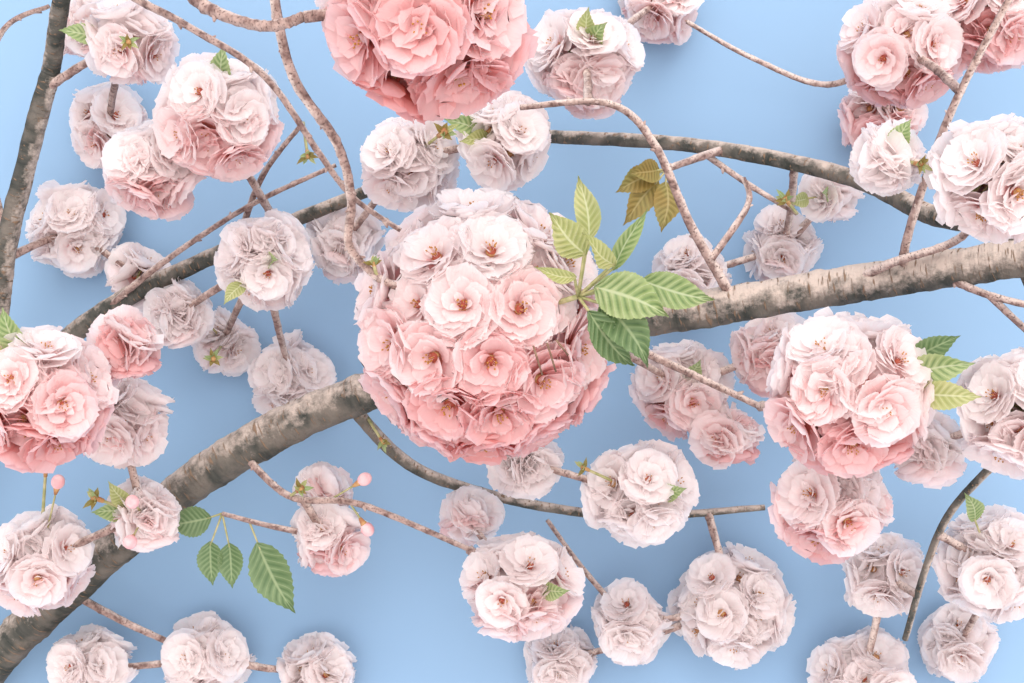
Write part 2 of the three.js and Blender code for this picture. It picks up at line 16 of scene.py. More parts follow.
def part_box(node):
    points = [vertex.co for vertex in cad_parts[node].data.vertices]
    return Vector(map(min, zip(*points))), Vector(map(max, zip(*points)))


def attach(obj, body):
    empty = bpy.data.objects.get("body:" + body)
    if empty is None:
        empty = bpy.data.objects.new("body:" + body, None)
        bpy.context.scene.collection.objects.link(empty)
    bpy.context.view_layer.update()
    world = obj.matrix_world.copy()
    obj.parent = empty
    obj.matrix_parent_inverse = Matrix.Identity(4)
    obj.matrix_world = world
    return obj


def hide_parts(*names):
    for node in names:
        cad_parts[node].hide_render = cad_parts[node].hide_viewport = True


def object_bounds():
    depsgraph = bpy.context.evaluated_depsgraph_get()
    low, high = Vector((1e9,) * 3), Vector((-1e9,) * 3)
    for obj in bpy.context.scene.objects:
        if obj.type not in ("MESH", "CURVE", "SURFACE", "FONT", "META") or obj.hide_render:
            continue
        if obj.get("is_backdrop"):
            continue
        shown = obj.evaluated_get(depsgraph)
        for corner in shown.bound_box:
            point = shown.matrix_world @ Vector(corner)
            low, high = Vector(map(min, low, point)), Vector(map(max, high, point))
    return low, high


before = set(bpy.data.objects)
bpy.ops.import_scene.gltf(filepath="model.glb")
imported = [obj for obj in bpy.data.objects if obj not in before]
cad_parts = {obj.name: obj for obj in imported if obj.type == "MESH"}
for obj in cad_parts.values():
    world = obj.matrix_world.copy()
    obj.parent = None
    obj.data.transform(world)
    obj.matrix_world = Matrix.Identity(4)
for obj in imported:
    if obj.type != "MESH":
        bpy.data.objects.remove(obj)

cad_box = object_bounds()
print("solids", len(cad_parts), "box", [round(v, 3) for corner in cad_box for v in corner])

# %% [markdown]
# ## The sizes of the plant
# The solids were grown from a short table: the path of each limb, and the centre and reach of each
# ball of blossom. The same table is repeated here in millimetres, so that bark, stalks and petals
# follow the same lines. A limb's width is told at its root and at its tip.

# %% Limbs
LIMBS = {
    "main_bough": dict(
        width=(38, 27),
        path=[
            (-518, -348, 17.6), (-390, -220, 58), (-215, -85, 110), (-5, -5, 160), (240, 40, 225),
            (402, 66, 310),
        ],
    ),
    "left_bough": dict(
        on="main_bough", width=(28, 15),
        path=[(-495, -320, 30), (-492, -190, 52), (-447, -50, 78), (-418, 84, 105), (-365, 215, 162)],
        twigs=[[(-418, 84, 105), (-428, 180, 140), (-405, 245, 160), (-362, 262, 178)]],
    ),
    "top_bough": dict(
        on="left_bough", width=(15, 9),
        path=[(-365, 215, 162), (-318, 285, 250), (-212, 287, 370), (-118, 275, 452)],
    ),
    "upper_left_bough": dict(
        on="left_bough", width=(21, 10),
        path=[(-459, -85, 70), (-362, 15, 76), (-240, 76, 95), (-118, 124, 116)],
        twigs=[
            [(-230, 80, 97), (-201, 134, 140), (-167, 175, 150)],
            [(-348, 24, 78), (-287, 66, 110), (-212, 110, 136), (-141, 141, 150)],
        ],
    ),
    "gnarled_spur": dict(
        on="top_bough", width=(9, 6), knobs=0.22,
        path=[(-224, 286, 356), (-212, 238, 420), (-187, 203, 458), (-147, 185, 478), (-121, 189, 485)],
    ),
    "hanging_twig": dict(
        on="top_bough", width=(7.4, 5.6), knobs=0.14,
        path=[
            (-154, 279, 424), (-154, 242, 405), (-143, 175, 385), (-115, 130, 368), (-107, 95, 357),
            (-109, 64, 350), (-91, 43, 340),
        ],
    ),
    "long_twig": dict(
        on="top_bough", width=(6, 3.4),
        path=[
            (-270, 282, 304), (-266, 243, 330), (-223, 215, 345), (-167, 179, 352), (-130, 127, 346),
            (-108, 98, 336), (-76, 76, 330),
        ],
    ),
    "arched_twig": dict(
        on="main_bough", width=(8.2, 4.4),
        path=[(172, 27, 208), (133, 87, 235), (104, 145, 253), (70, 173, 262), (6, 172, 250)],
        twigs=[[(150, 62, 224), (176, 102, 232), (172, 122, 236)]],
    ),
    "upper_right_bough": dict(
        on="main_bough", width=(19, 11),
        path=[
            (376, 60, 294), (350, 82, 272), (314, 96, 225), (267, 130, 165), (156, 162, 104),
            (31, 177, 52),
        ],
        twigs=[[(150, 163, 102), (192, 130, 120), (232, 104, 128)]],
    ),
    "upright_twig": dict(
        on="main_bough", width=(7.4, 4.6),
        path=[(288, 46, 246), (286, 74, 266), (310, 160, 290), (345, 236, 310), (362, 268, 320)],
    ),
    "right_twig": dict(
        on="main_bough", width=(7, 4.4),
        path=[(308, 46, 256), (340, 33, 284), (396, 18, 304)],
        twigs=[[(340, 33, 284), (372, 4, 282), (398, -12, 276)]],
    ),
    "lower_twig": dict(
        on="main_bough", width=(7, 5),
        path=[(75, 8, 180), (99, -7, 208), (138, -26, 226), (183, -48, 244)],
    ),
    "lower_bough": dict(
        on="main_bough", width=(12, 5.6),
        path=[(-130, -52, 136), (-70, -110, 105), (75, -146, 84), (216, -142, 64)],
    ),
    "lower_left_twig": dict(
        on="main_bough", width=(6.4, 4.4),
        path=[(-228, -94, 108), (-178, -124, 148), (-120, -129, 162), (-34, -164, 165)],
    ),
    "right_drop_bough": dict(
        on="main_bough", width=(10, 5),
        path=[(362, 56, 288), (387, 6, 262), (390, -60, 224), (340, -140, 174), (322, -244, 120)],
    ),
}
TWIG_WIDTH, SPUR_WIDTH = (6.0, 3.6), (7.5, 5.2)
print("limbs", len(LIMBS))

# %% [markdown]
# A cluster is a few balls of bloom on one spur, which grows from the named limb where that is
# nearest, or at the share of the limb's length that the word at gives. Bloom is the width of one
# bloom. A lobe is a ball's centre and its reach, and a centre height of 0 means that it lies on the
# ground. Leaves are told by the place of the tip and the width, and hung leaves by their stalk's
# start, their foot, their tip and their width. Tint says how pink the cluster looks, and fine that
# it is near enough to be made finely.

# %% Clusters
CLUSTERS = {
    "top_cluster": dict(
        on="gnarled_spur", at=1, bloom=56, lobes=[(-50, 196, 468, 70)], tint=0.65, fine=1,
    ),
    "right_cluster": dict(
        on="lower_twig", at=1, bloom=46, tint=0.3, fine=1,
        lobes=[(231, -34, 330, 62), (232, -116, 268, 47)],
        leaves=[(304, -14, 372, 20), (306, -36, 380, 18), (296, 4, 366, 16)],
    ),
    "far_right_cluster": dict(
        on="right_twig", bloom=46, tint=-0.6, fine=1,
        lobes=[(350, -46, 322, 50), (306, -76, 252, 32)],
    ),
    "right_upper_cluster": dict(
        on="main_bough", by=[(276, 57, 262), (318, 74, 290)], bloom=46, tint=-0.7, fine=1,
        lobes=[(308, 104, 402, 48), (252, 122, 350, 28)],
        leaves=[(262, 146, 372, 14), (276, 96, 380, 13)],
    ),
    "under_bough_cluster": dict(
        on="main_bough", bloom=44, tint=0.15,
        lobes=[(141, -37, 108, 45), (212, -8, 128, 38), (176, -78, 130, 32)],
        leaves=[(150, -14, 158, 14)],
    ),
    "top_right_cluster": dict(
        on="upright_twig", bloom=44, tint=0.25,
        lobes=[(302, 226, 190, 52), (368, 250, 196, 48), (322, 196, 0, 42)],
        twigs=[[(302, 226, 190), (252, 204, 160), (195, 228, 140), (142, 260, 130)]],
    ),
    "upper_cluster": dict(
        on="arched_twig", bloom=44, lobes=[(58, 220, 176, 48), (128, 297, 0, 42)], tint=-0.3,
        leaves=[(72, 240, 226, 16), (58, 252, 224, 14)],
    ),
    "behind_bough_cluster": dict(
        on="upper_right_bough", bloom=42, tint=-0.9,
        lobes=[(238, 82, 0, 38), (270, 124, 74, 30), (152, 56, 60, 38)],
        leaves=[(254, 122, 118, 12), (226, 116, 108, 12)],
    ),
    "bronze_shoot": dict(
        on="upper_right_bough", bloom=0, lobes=[(124, 138, 150, 9)],
        leaves=[(82, 118, 160, 20), (88, 92, 158, 20), (118, 86, 164, 22), (92, 132, 168, 18)],
    ),
    "behind_top_cluster": dict(
        on="upper_left_bough", at=1, bloom=44, tint=-0.9,
        lobes=[(-80, 142, 176, 44), (-6, 155, 200, 42), (-139, 84, 96, 38)],
        leaves=[(-52, 168, 222, 16), (-40, 150, 226, 13)],
    ),
    "upper_left_cluster": dict(
        on="upper_left_bough", bloom=44, tint=-0.1,
        lobes=[(-222, 170, 214, 54), (-278, 134, 188, 43)],
        leaves=[(-210, 218, 254, 16)],
    ),
    "corner_cluster": dict(
        on="left_bough", bloom=44, tint=-0.4,
        lobes=[(-292, 232, 196, 40), (-352, 190, 0, 42), (-356, 262, 96, 34)],
        leaves=[(-344, 236, 214, 15)],
    ),
    "left_edge_cluster": dict(
        on="left_bough", bloom=46, tint=0.5, fine=1,
        lobes=[(-331, -38, 300, 55), (-284, -4, 250, 31)],
        leaves=[(-352, 24, 318, 16), (-372, 12, 330, 15)],
    ),
    "pale_left_cluster": dict(
        on="left_bough", bloom=43, tint=-1.0, lobes=[(-380, 98, 0, 46), (-322, 56, 60, 34)],
    ),
    "mid_left_cluster": dict(
        on="upper_left_bough", bloom=42, tint=-0.8,
        lobes=[(-196, 64, 160, 44), (-192, -32, 0, 42), (-254, 0, 0, 34), (-278, 24, 92, 32)],
        leaves=[(-178, 62, 208, 12), (-222, 28, 196, 12)],
    ),
    "left_low_cluster": dict(
        on="main_bough", bloom=44, tint=-0.35,
        lobes=[(-288, -136, 176, 34), (-300, -60, 192, 40), (-372, -172, 166, 46)],
        leaves=[(-326, -132, 190, 15), (-308, -106, 208, 13)],
    ),
    "hanging_cluster": dict(
        on="lower_left_twig", bloom=42, tint=-0.1,
        lobes=[(-150, -160, 124, 36), (-156, -124, 106, 27)],
        twigs=[[(-150, -160, 124), (-196, -150, 130), (-236, -140, 128)]],
        hung=[
            ((-236, -140, 128), (-245, -162, 133), (-241, -197, 140), 21),
            ((-236, -140, 128), (-229, -163, 135), (-225, -199, 142), 21),
            ((-214, -146, 129), (-207, -163, 134), (-175, -220, 136), 33),
            ((-236, -140, 128), (-244, -143, 131), (-279, -149, 134), 25),
        ],
    ),
    "bottom_left_cluster": dict(
        on="main_bough", bloom=43, tint=-0.9,
        lobes=[(-266, -276, 0, 43), (-364, -282, 54, 42), (-170, -290, 0, 40)],
    ),
    "lower_cluster": dict(
        on="lower_left_twig", at=1, bloom=44, tint=-0.3,
        lobes=[(6, -192, 176, 50), (-36, -146, 112, 28)],
        leaves=[(44, -188, 218, 14)],
    ),
    "lower_mid_cluster": dict(
        on="lower_bough", bloom=44, tint=-1.3,
        lobes=[(101, -120, 162, 47), (10, -96, 152, 33)],
        leaves=[(134, -112, 204, 14)],
    ),
    "bottom_mid_cluster": dict(
        on="lower_bough", bloom=43, tint=-1.2,
        lobes=[(190, -228, 0, 57), (102, -242, 62, 39), (44, -280, 0, 38)],
        twigs=[[(102, -242, 62), (62, -196, 66), (30, -152, 70)]],
    ),
    "bottom_right_cluster": dict(
        on="right_drop_bough", bloom=42, tint=-1.3,
        lobes=[(313, -196, 84, 40), (303, -294, 0, 50)],
    ),
    "right_bottom_cluster": dict(
        on="right_drop_bough", bloom=44, tint=-1.0,
        lobes=[(384, -178, 150, 50), (392, -264, 0, 38)],
        leaves=[(348, -116, 196, 14)],
    ),
}
print("clusters", len(CLUSTERS))

# %% [markdown]
# The middle cluster is the nearest, so each bloom on its seen side is told by itself: how far it is
# from the cluster's heart, across and up the picture. The tuft beside it is nine young leaves that
# spring from one shoot, each told by its foot, its tip and its width.

# %% The middle cluster and its leaf tuft
MIDDLE = dict(
    on="hanging_twig", centre=(-21, 11, 292), reach=(88, 94, 80), bloom=54, rear=18,
    front=[
        (-34, 52), (-13, 15), (30, 12), (-68, -14), (-36, -24), (8, -27), (46, -42), (74, -18),
        (-24, -60), (14, -66), (-80, 26), (-66, -54), (-40, -82), (2, -90), (42, -80), (8, 56),
        (47, 70), (-6, 88), (64, 46), (78, -52),
    ],
    fill=[(0.60, 0.20, 0.77), (-0.58, 0.18, 0.79), (0.50, 0.44, 0.75)],
)
TUFT = dict(
    shoot=(44, 30, 358),
    leaves=[
        ((49, 57, 368), (24, 84, 380), 22), ((51, 66, 362), (44, 110, 360), 16),
        ((68, 50, 372), (45, 70, 392), 13), ((67, 47, 362), (89, 87, 372), 12),
        ((86, 41, 354), (135, 28, 358), 22), ((54, 36, 368), (102, 16, 380), 30),
        ((59, 27, 364), (89, -17, 372), 26), ((50, 20, 372), (82, -16, 352), 20),
        ((42, 42, 380), (14, 48, 392), 9),
    ],
)
print("front blooms", len(MIDDLE["front"]), "tuft leaves", len(TUFT["leaves"]))

# %% [markdown]
# ## The growing rule
# Repeatable random numbers, a smooth path through points and an even spread of directions round a
# ball are all that the solids' rule needs. They are written again here, with the draws in the same
# order, so each bloom sits where its solid does.

# %% Random numbers
WORD = 0xFFFFFFFF
TURN = 6.28  # a full turn in radians, near enough for one that is drawn at random


def seeded(name):
    """A row of random numbers that is the same on every run, since it starts from the name."""
    state = 2166136261
    for letter in name:
        state = ((state ^ ord(letter)) * 16777619) & WORD

    def draw():
        nonlocal state
        state = (state + 0x6D2B79F5) & WORD
        t = state
        t = ((t ^ (t >> 15)) * (t | 1)) & WORD
        t = (t ^ (t + ((t ^ (t >> 7)) * (t | 61)))) & WORD
        return ((t ^ (t >> 14)) & WORD) / 4294967296

    return draw


print("first draw", round(seeded("main_bough")(), 6))

# %% [markdown]
# A limb bends evenly from one year's growth to the next, so its path is a few points with a smooth
# curve through them. The curve is made of cubic pieces, which pass through every point. A place on a
# limb is told by its share of the way from root to tip.

# %% Paths and directions
def along(path, share):
    """The point at a share of a smooth curve through the path's points."""
    spans = len(path) - 1
    span = min(int(share * spans), spans - 1)
    t = share * spans - span
    a, b, c, d = (Vector(path[max(0, min(spans, span + k))]) for k in (-1, 0, 1, 2))
    return 0.5 * (
        2 * b + (c - a) * t + (2 * a - 5 * b + 4 * c - d) * t * t + (3 * b - a - 3 * c + d) * t * t * t
    )


def heading(path, share):
    """The limb's direction there."""
    return (along(path, min(1, share + 0.01)) - along(path, max(0, share - 0.01))).normalized()


def path_length(path):
    return sum((Vector(b) - Vector(a)).length for a, b in zip(path, path[1:]))


def nearest_share(path, point):
    """The share at which the limb comes nearest to the point, to a hundredth."""
    return min((k / 100 for k in range(101)), key=lambda share: (along(path, share) - point).length)


def across(axis, roll=0.0):
    """Two directions square to the axis and to each other."""
    guide = Vector((0, 0, 1)) if abs(axis.z) < 0.9 else Vector((1, 0, 0))
    first = guide.cross(axis).normalized()
    first.rotate(Matrix.Rotation(roll, 3, axis))
    return first, axis.cross(first)


def spread(count):
    """Directions spread evenly over a ball, by the golden angle, from its foot to its top."""
    golden = math.pi * (3 - math.sqrt(5))
    ways = []
    for index in range(count):
        height = -1 + 2 * index / max(1, count - 0.4)
        out = math.sqrt(1 - height * height)
        ways.append(Vector((out * math.cos(golden * index), out * math.sin(golden * index), height)))
    return ways


for limb in LIMBS.values():  # each limb starts on its parent's middle line
    if "on" in limb:
        parent = LIMBS[limb["on"]]["path"]
        limb["path"][0] = tuple(along(parent, nearest_share(parent, Vector(limb["path"][0]))))
print("main bough", round(path_length(LIMBS["main_bough"]["path"])), "mm long")

# %% [markdown]
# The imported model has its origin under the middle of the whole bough. The table counts from the
# point under the camera instead. So the shift between the two is measured once, on the main bough:
# its solid's box is set against the same rings worked out from the table.

# %% The shift between the table and the frame
def plain_rings(path, width, sides, step):
    """The corners of a limb's rings, as its solid has them."""
    steps = max(3, round(path_length(path) / step))
    first = None
    rings = []
    for k in range(steps + 1):
        share = k / steps
        axis = heading(path, share)
        if first is None:
            first = across(axis)[0]
        first = (first - axis * first.dot(axis)).normalized()
        second = axis.cross(first)
        radius = (width[0] + (width[1] - width[0]) * share) / 2
        for side in range(sides):
            turn = side / sides * 2 * math.pi
            out = math.cos(turn) * first + math.sin(turn) * second
            rings.append(along(path, share) + radius * out)
    return rings


MAIN_SIDES, MAIN_STEP = 10, 50
rings = plain_rings(LIMBS["main_bough"]["path"], LIMBS["main_bough"]["width"], MAIN_SIDES, MAIN_STEP)
lowest = Vector([min(p[i] for p in rings) for i in range(3)]) / 1000
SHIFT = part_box("main_bough")[0] - lowest
print("shift in mm", [round(v * 1000, 2) for v in SHIFT])


def placed(points):
    """Millimetres of the table as metres of the frame."""
    return np.asarray(points, float) / 1000 + np.array(SHIFT)

# %% [markdown]
# ## Making and joining meshes
# Small things such as petals are shaped once with a bmesh, kept as arrays of points and faces, and
# dealt out by matrix. Joining the copies into one mesh per cluster keeps the file light, and keeps
# every petal a real surface. A face also carries the number of its material, and the corners carry
# a map of the surface, for patterns that follow it.

# %% A shape as points and faces
BOUGH, TWIG, GREEN_STALK, RED_SCALE, BUD_PINK, BROWN_STALK, SAWN = range(7)  # zones of wood


class Shape:
    """Points, the corners of its faces in one row, each face's size and the number of its material."""

    def __init__(self, points, corners, sizes, zones, uvs):
        self.points = np.asarray(points, float).reshape(-1, 3)
        self.corners = np.asarray(corners, int)
        self.sizes = np.asarray(sizes, int)
        self.zones = np.asarray(zones, int)
        self.uvs = np.asarray(uvs, float).reshape(-1, 2)

    def moved(self, matrix):
        m = np.array(matrix)
        points = self.points @ m[:3, :3].T + m[:3, 3]
        return Shape(points, self.corners, self.sizes, self.zones, self.uvs)


def shape_of(bm, zone):
    """A bmesh's points and faces. The zone is one number, or a list with one for each face."""
    bm.verts.index_update()
    uv = bm.loops.layers.uv.verify()
    points = [v.co[:] for v in bm.verts]
    corners = [v.index for f in bm.faces for v in f.verts]
    zones = zone if isinstance(zone, list) else [zone] * len(bm.faces)
    uvs = [loop[uv].uv[:] for f in bm.faces for loop in f.loops]
    shape = Shape(points, corners, [len(f.verts) for f in bm.faces], zones, uvs)
    bm.free()
    return shape


def joined(shapes):
    """Several shapes as one."""
    starts = np.cumsum([0] + [len(s.points) for s in shapes[:-1]])
    return Shape(
        np.concatenate([s.points for s in shapes]),
        np.concatenate([s.corners + start for s, start in zip(shapes, starts)]),
        np.concatenate([s.sizes for s in shapes]),
        np.concatenate([s.zones for s in shapes]),
        np.concatenate([s.uvs for s in shapes]),
    )


print("zones of wood", SAWN + 1)

# %% [markdown]
# A shape becomes a piece of the plant in one place, so that every piece gets its mesh, its finishes,
# its body and the solids that it stands in for in the same way. What would sink into the
# ground is laid flat on it first, as limp petals and low twigs do.

# %% A shape as a piece of the plant
MAP = "surface"
CLEAR_OF_FLOOR = 0.3  # mm


def on_floor(shape):
    """What would pass through the ground lies flat on it."""
    shape.points[:, 2] = np.maximum(shape.points[:, 2], CLEAR_OF_FLOOR - SHIFT.z * 1000)
    return shape


def piece(name, shape, materials, replaces=(), flat=None):
    """One object of the plant, riding on the frame. The points are in the table's millimetres."""
    mesh = bpy.data.meshes.new(name)
    mesh.vertices.add(len(shape.points))
    mesh.vertices.foreach_set("co", placed(shape.points).ravel())
    mesh.loops.add(len(shape.corners))
    mesh.loops.foreach_set("vertex_index", shape.corners)
    mesh.polygons.add(len(shape.sizes))
    mesh.polygons.foreach_set("loop_start", np.concatenate([[0], np.cumsum(shape.sizes)[:-1]]))
    used, numbers = np.unique(shape.zones, return_inverse=True)
    mesh.polygons.foreach_set("material_index", numbers)
    mesh.polygons.foreach_set("use_smooth", shape.zones != flat if flat else [True] * len(shape.zones))
    mesh.uv_layers.new(name=MAP).data.foreach_set("uv", shape.uvs.ravel())
    for number in used:
        mesh.materials.append(materials[number])
    mesh.update(calc_edges=True)
    made = bpy.data.objects.new(name, mesh)
    bpy.context.scene.collection.objects.link(made)
    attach(made, "root")
    if replaces:
        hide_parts(*replaces)


print("the ground in the table's millimetres", round(-SHIFT.z * 1000, 2))

# %% [markdown]
# Throats, anthers, bud scales and buds are only millimetres large, so one cone or one sphere is
# enough for each. A flat, rolled or folded part starts as a grid instead, which brings its map along:
# the map stays with the surface however the grid is bent.

# %% Small shapes and mapped grids
def cone(bottom, top, low, high, sides, zone):
    """A small closed spindle along Z, for throats, anthers and scales."""
    bm = bmesh.new()
    bmesh.ops.create_cone(bm, cap_ends=True, segments=sides, radius1=low, radius2=high,
                          depth=top - bottom)
    bmesh.ops.translate(bm, verts=bm.verts, vec=(0, 0, (top + bottom) / 2))
    return shape_of(bm, zone)


def ball(zone):
    """A bud: a round knob, a little longer than wide."""
    bm = bmesh.new()
    bmesh.ops.create_icosphere(bm, subdivisions=3, radius=0.5)
    bmesh.ops.scale(bm, vec=(1, 1, 1.15), verts=bm.verts)
    return shape_of(bm, zone)


def mapped_grid(cols, rows, length=1.0):
    """A flat square of side 1. Its map goes from 0 to 1 across, and from 0 to the length upwards."""
    bm = bmesh.new()
    bmesh.ops.create_grid(bm, x_segments=cols, y_segments=rows, size=0.5, calc_uvs=True)
    uv = bm.loops.layers.uv.verify()
    for f in bm.faces:
        for loop in f.loops:
            loop[uv].uv = (loop.vert.co.x + 0.5, (loop.vert.co.y + 0.5) * length)
    return bm


def frame_matrix(place, axis, roll, size):
    """Turns a shape's +Z to the axis and sets it at the place."""
    first, second = across(axis, roll)
    turn = Matrix((first, second, axis)).transposed().to_4x4()
    return Matrix.Translation(place) @ turn @ Matrix.Scale(size, 4)


print("a bud has", len(ball(BUD_PINK).sizes), "faces")

# %% [markdown]
# ## Bark
# A cherry's bark is thin and grey-brown, with raised corky dashes that run round the limb, a sheen
# of pink on young wood, and rings of old bud scars on the spurs. A limb could be a curve with a
# round section, but then it would be smooth and have no map to lay the dashes on. So its tube is
# made from one grid that is rolled up along the path: across is round the limb, and up is the way
# along it. Relief is real where it shows, in the swellings and scars, and the finest grain is left
# to the material's bump.

# %% Rolling up a limb
def swellings(random, length, gap, wide):
    """Rings along a limb: where, how wide, how high, and the side on which they stand out."""
    count = max(2, int(length / gap))
    rings = []
    for k in range(count):
        place = (k + random()) / count * length
        rings.append((place, wide * (0.6 + 0.8 * random()), 0.4 + 0.6 * random(), random() * TURN))
    return rings


def rolled(path, around, steps, surface, zone, sawn=False):
    """A grid rolled up along a path: its map is the turn round the limb and the length in decimetres.

    The turn starts underneath, where its seam is hidden, and a quarter turn faces the light.
    """
    frames, first, hand = [], Vector((0, 0, -1)), None
    for k in range(steps + 1):
        axis = heading(path, k / steps)
        first = (first - axis * first.dot(axis)).normalized()
        second = axis.cross(first)
        hand = hand or (1 if second.y > 0 else -1)
        frames.append((along(path, k / steps), first.copy(), second * hand))
    bm = mapped_grid(around, steps, path_length(path) / 100)
    for v in bm.verts:
        turn, share = (v.co.x + 0.5) * 2 * math.pi, v.co.y + 0.5
        centre, one, two = frames[round(share * steps)]
        out = one * math.cos(turn) + two * math.sin(turn)
        v.co = centre + out * surface(centre, out, turn, share)
    bmesh.ops.remove_doubles(bm, verts=bm.verts, dist=1e-4)
    ends = bmesh.ops.holes_fill(bm, edges=[e for e in bm.edges if e.is_boundary], sides=0)["faces"]
    bmesh.ops.recalc_face_normals(bm, faces=bm.faces)
    if sawn:  # a low rim of bark is left round the cut
        bmesh.ops.inset_individual(bm, faces=ends, thickness=1.3, depth=-0.3)
        uv = bm.loops.layers.uv.verify()
        for f in ends:
            middle, (one, two) = f.calc_center_median(), across(f.normal)
            for loop in f.loops:
                arm = loop.vert.co - middle
                loop[uv].uv = (arm.dot(one) / 10, arm.dot(two) / 10)
    return shape_of(bm, [SAWN if sawn and f in ends else zone for f in bm.faces])


print("rings on 1 m, 17 mm apart", len(swellings(seeded("trial"), 1000, 17, 3.6)))

# %% [markdown]
# The relief is two things added up. Rings of swellings sit where the limb once paused in its
# growth, close together on a knobbly spur and far apart on a bough. Three sizes of lumps come from
# smooth noise, and each is told by its height as a share of the radius, and how fast it changes
# along the limb and round it.

# %% The bark's relief
THICK, BOUGH_OVER = 20, 9  # limb widths in mm
BOUGH_RINGS, TWIG_RINGS, KNOB_RINGS = (17, 3.6), (10, 1.7), (5.5, 1.7)  # their gap and width in mm
LUMPS = ((0.10, 0.014, 0.8), (0.075, 0.06, 1.5), (0.06, 0.20, 3.0))


def fineness(name, thick):
    """Faces round a limb, and millimetres from ring to ring."""
    if thick > THICK:
        return 40, 3.0
    if thick > BOUGH_OVER:
        return 24, 2.6
    return 12, 1.6 if name in LIMBS else 2.6


def limb_shape(name, path, width, knobs, zone):
    """A limb with its bark's swellings, rings and lumps."""
    random = seeded(name + "_relief")
    length, thick = path_length(path), max(width)
    around, pitch = fineness(name, thick)
    if thick > BOUGH_OVER:
        rings, height = swellings(random, length, *BOUGH_RINGS), 0.06
    else:
        kind = KNOB_RINGS if knobs > 0.2 else TWIG_RINGS
        rings, height = swellings(random, length, *kind), 0.14 + 0.6 * knobs
    seed = Vector((random() * 50, random() * 50, random() * 50))

    def surface(centre, out, turn, share):
        radius = (width[0] + (width[1] - width[0]) * share) / 2
        rise = 0.0
        for place, wide, high, toward in rings:
            near = (share * length - place) / wide
            if abs(near) < 2.2:
                rise += height * high * (0.5 + 0.5 * math.cos(turn - toward)) * math.exp(-near * near)
        lump = sum(high * noise.noise(centre * way + out * turns + seed) for high, way, turns in LUMPS)
        return radius * (0.97 + rise + lump)

    return rolled(path, around, max(4, int(length / pitch)), surface, zone, sawn=name == "main_bough")


print("main bough: faces round it and mm between its rings", fineness("main_bough", 38))

# %% [markdown]
# A finish is a tree of nodes, which is long to write out by hand. A few short helpers make a node, a
# ramp, a mix or an operation in one line each, and link it to what comes before it. A pattern is laid
# out either on the piece's own map or on the place on its object, so it stays put on the surface.

# %% Helpers for node trees
def new_group(name, inputs, outputs):
    group = bpy.data.node_groups.new(name, "ShaderNodeTree")
    for label, kind, default in inputs:
        socket = group.interface.new_socket(label, in_out="INPUT", socket_type=kind)
        socket.default_value = default
    for label, kind in outputs:
        group.interface.new_socket(label, in_out="OUTPUT", socket_type=kind)
    return group, group.nodes.new("NodeGroupInput"), group.nodes.new("NodeGroupOutput")


def node(tree, kind, links=None, **values):
    """A node with its properties and plain inputs set, and other nodes' outputs linked in."""
    made = tree.nodes.new(kind)
    for key, value in values.items():
        if hasattr(made, key):
            setattr(made, key, value)
        else:
            made.inputs[key.replace("_", " ")].default_value = value
    for key, source in (links or {}).items():
        tree.links.new(source, made.inputs[key])
    return made


def ramp(tree, source, stops):
    made = node(tree, "ShaderNodeValToRGB", {"Fac": source})
    elements = made.color_ramp.elements
    while len(elements) < len(stops):
        elements.new(0.5)
    for element, (at, colour) in zip(elements, stops):
        element.position = at
        element.color = (*colour, 1)
    return made.outputs["Color"]


def mix(tree, factor, a, b, blend="MIX"):
    made = node(tree, "ShaderNodeMix", data_type="RGBA", blend_type=blend)
    for socket, value in ((made.inputs[0], factor), (made.inputs[6], a), (made.inputs[7], b)):
        if isinstance(value, bpy.types.NodeSocket):
            tree.links.new(value, socket)
        else:
            socket.default_value = value if isinstance(value, float) else (*value, 1)
    return made.outputs[2]


def math_node(tree, operation, *values):
    """One operation. Each value is a number or another node's output."""
    made = node(tree, "ShaderNodeMath", operation=operation)
    for socket, value in zip(made.inputs, values):
        if isinstance(value, bpy.types.NodeSocket):
            tree.links.new(value, socket)
        else:
            socket.default_value = value
    return made.outputs[0]


def fade(start, end):
    """A ramp's stops, from black at the start to white at the end, which may come first."""
    black, white = (0, 0, 0), (1, 1, 1)
    return [(start, black), (end, white)] if start < end else [(end, white), (start, black)]


def own_place(tree):
    """Where a point lies on its own object."""
    return node(tree, "ShaderNodeTexCoord").outputs["Object"]


def own_map(tree):
    """The piece's own map of its surface."""
    return node(tree, "ShaderNodeUVMap", uv_map=MAP).outputs["UV"]


def new_material(name):
    material = bpy.data.materials.new(name)
    material.use_nodes = True
    return material, material.node_tree, material.node_tree.nodes["Principled BSDF"]


print("a fade", fade(0.4, 0.6))

# %% [markdown]
# Young and old bark share their pattern, so it is a node group that both materials use with their
# own colours. It reads the tube's map and stretches a noise round the limb for dashes and bands. A
# second noise makes patches, and the turn round the limb gives a mask of the side that faced the
# sun, where the bark is painted lighter as painted sunlight, a little more towards its far end. A
# height for the bump comes out with the masks.

# %% The bark's node group
group, given, result = new_group(
    "cherry bark",
    [("Dash scale", "NodeSocketFloat", 1.0), ("Patch scale", "NodeSocketFloat", 45.0)],
    [("Dashes", "NodeSocketFloat"), ("Bands", "NodeSocketFloat"), ("Patches", "NodeSocketFloat"),
     ("Lit side", "NodeSocketFloat"), ("Height", "NodeSocketFloat")],
)
uv, place = own_map(group), own_place(group)


def stretched_noise(scale, detail):
    """Noise that is drawn out round the limb."""
    stretch = node(group, "ShaderNodeMapping", {"Vector": uv}, Scale=scale)
    scaled = node(group, "ShaderNodeVectorMath",
                  {0: stretch.outputs[0], "Scale": given.outputs["Dash scale"]}, operation="SCALE")
    return node(group, "ShaderNodeTexNoise", {"Vector": scaled.outputs[0]}, Scale=1.0, Detail=detail)


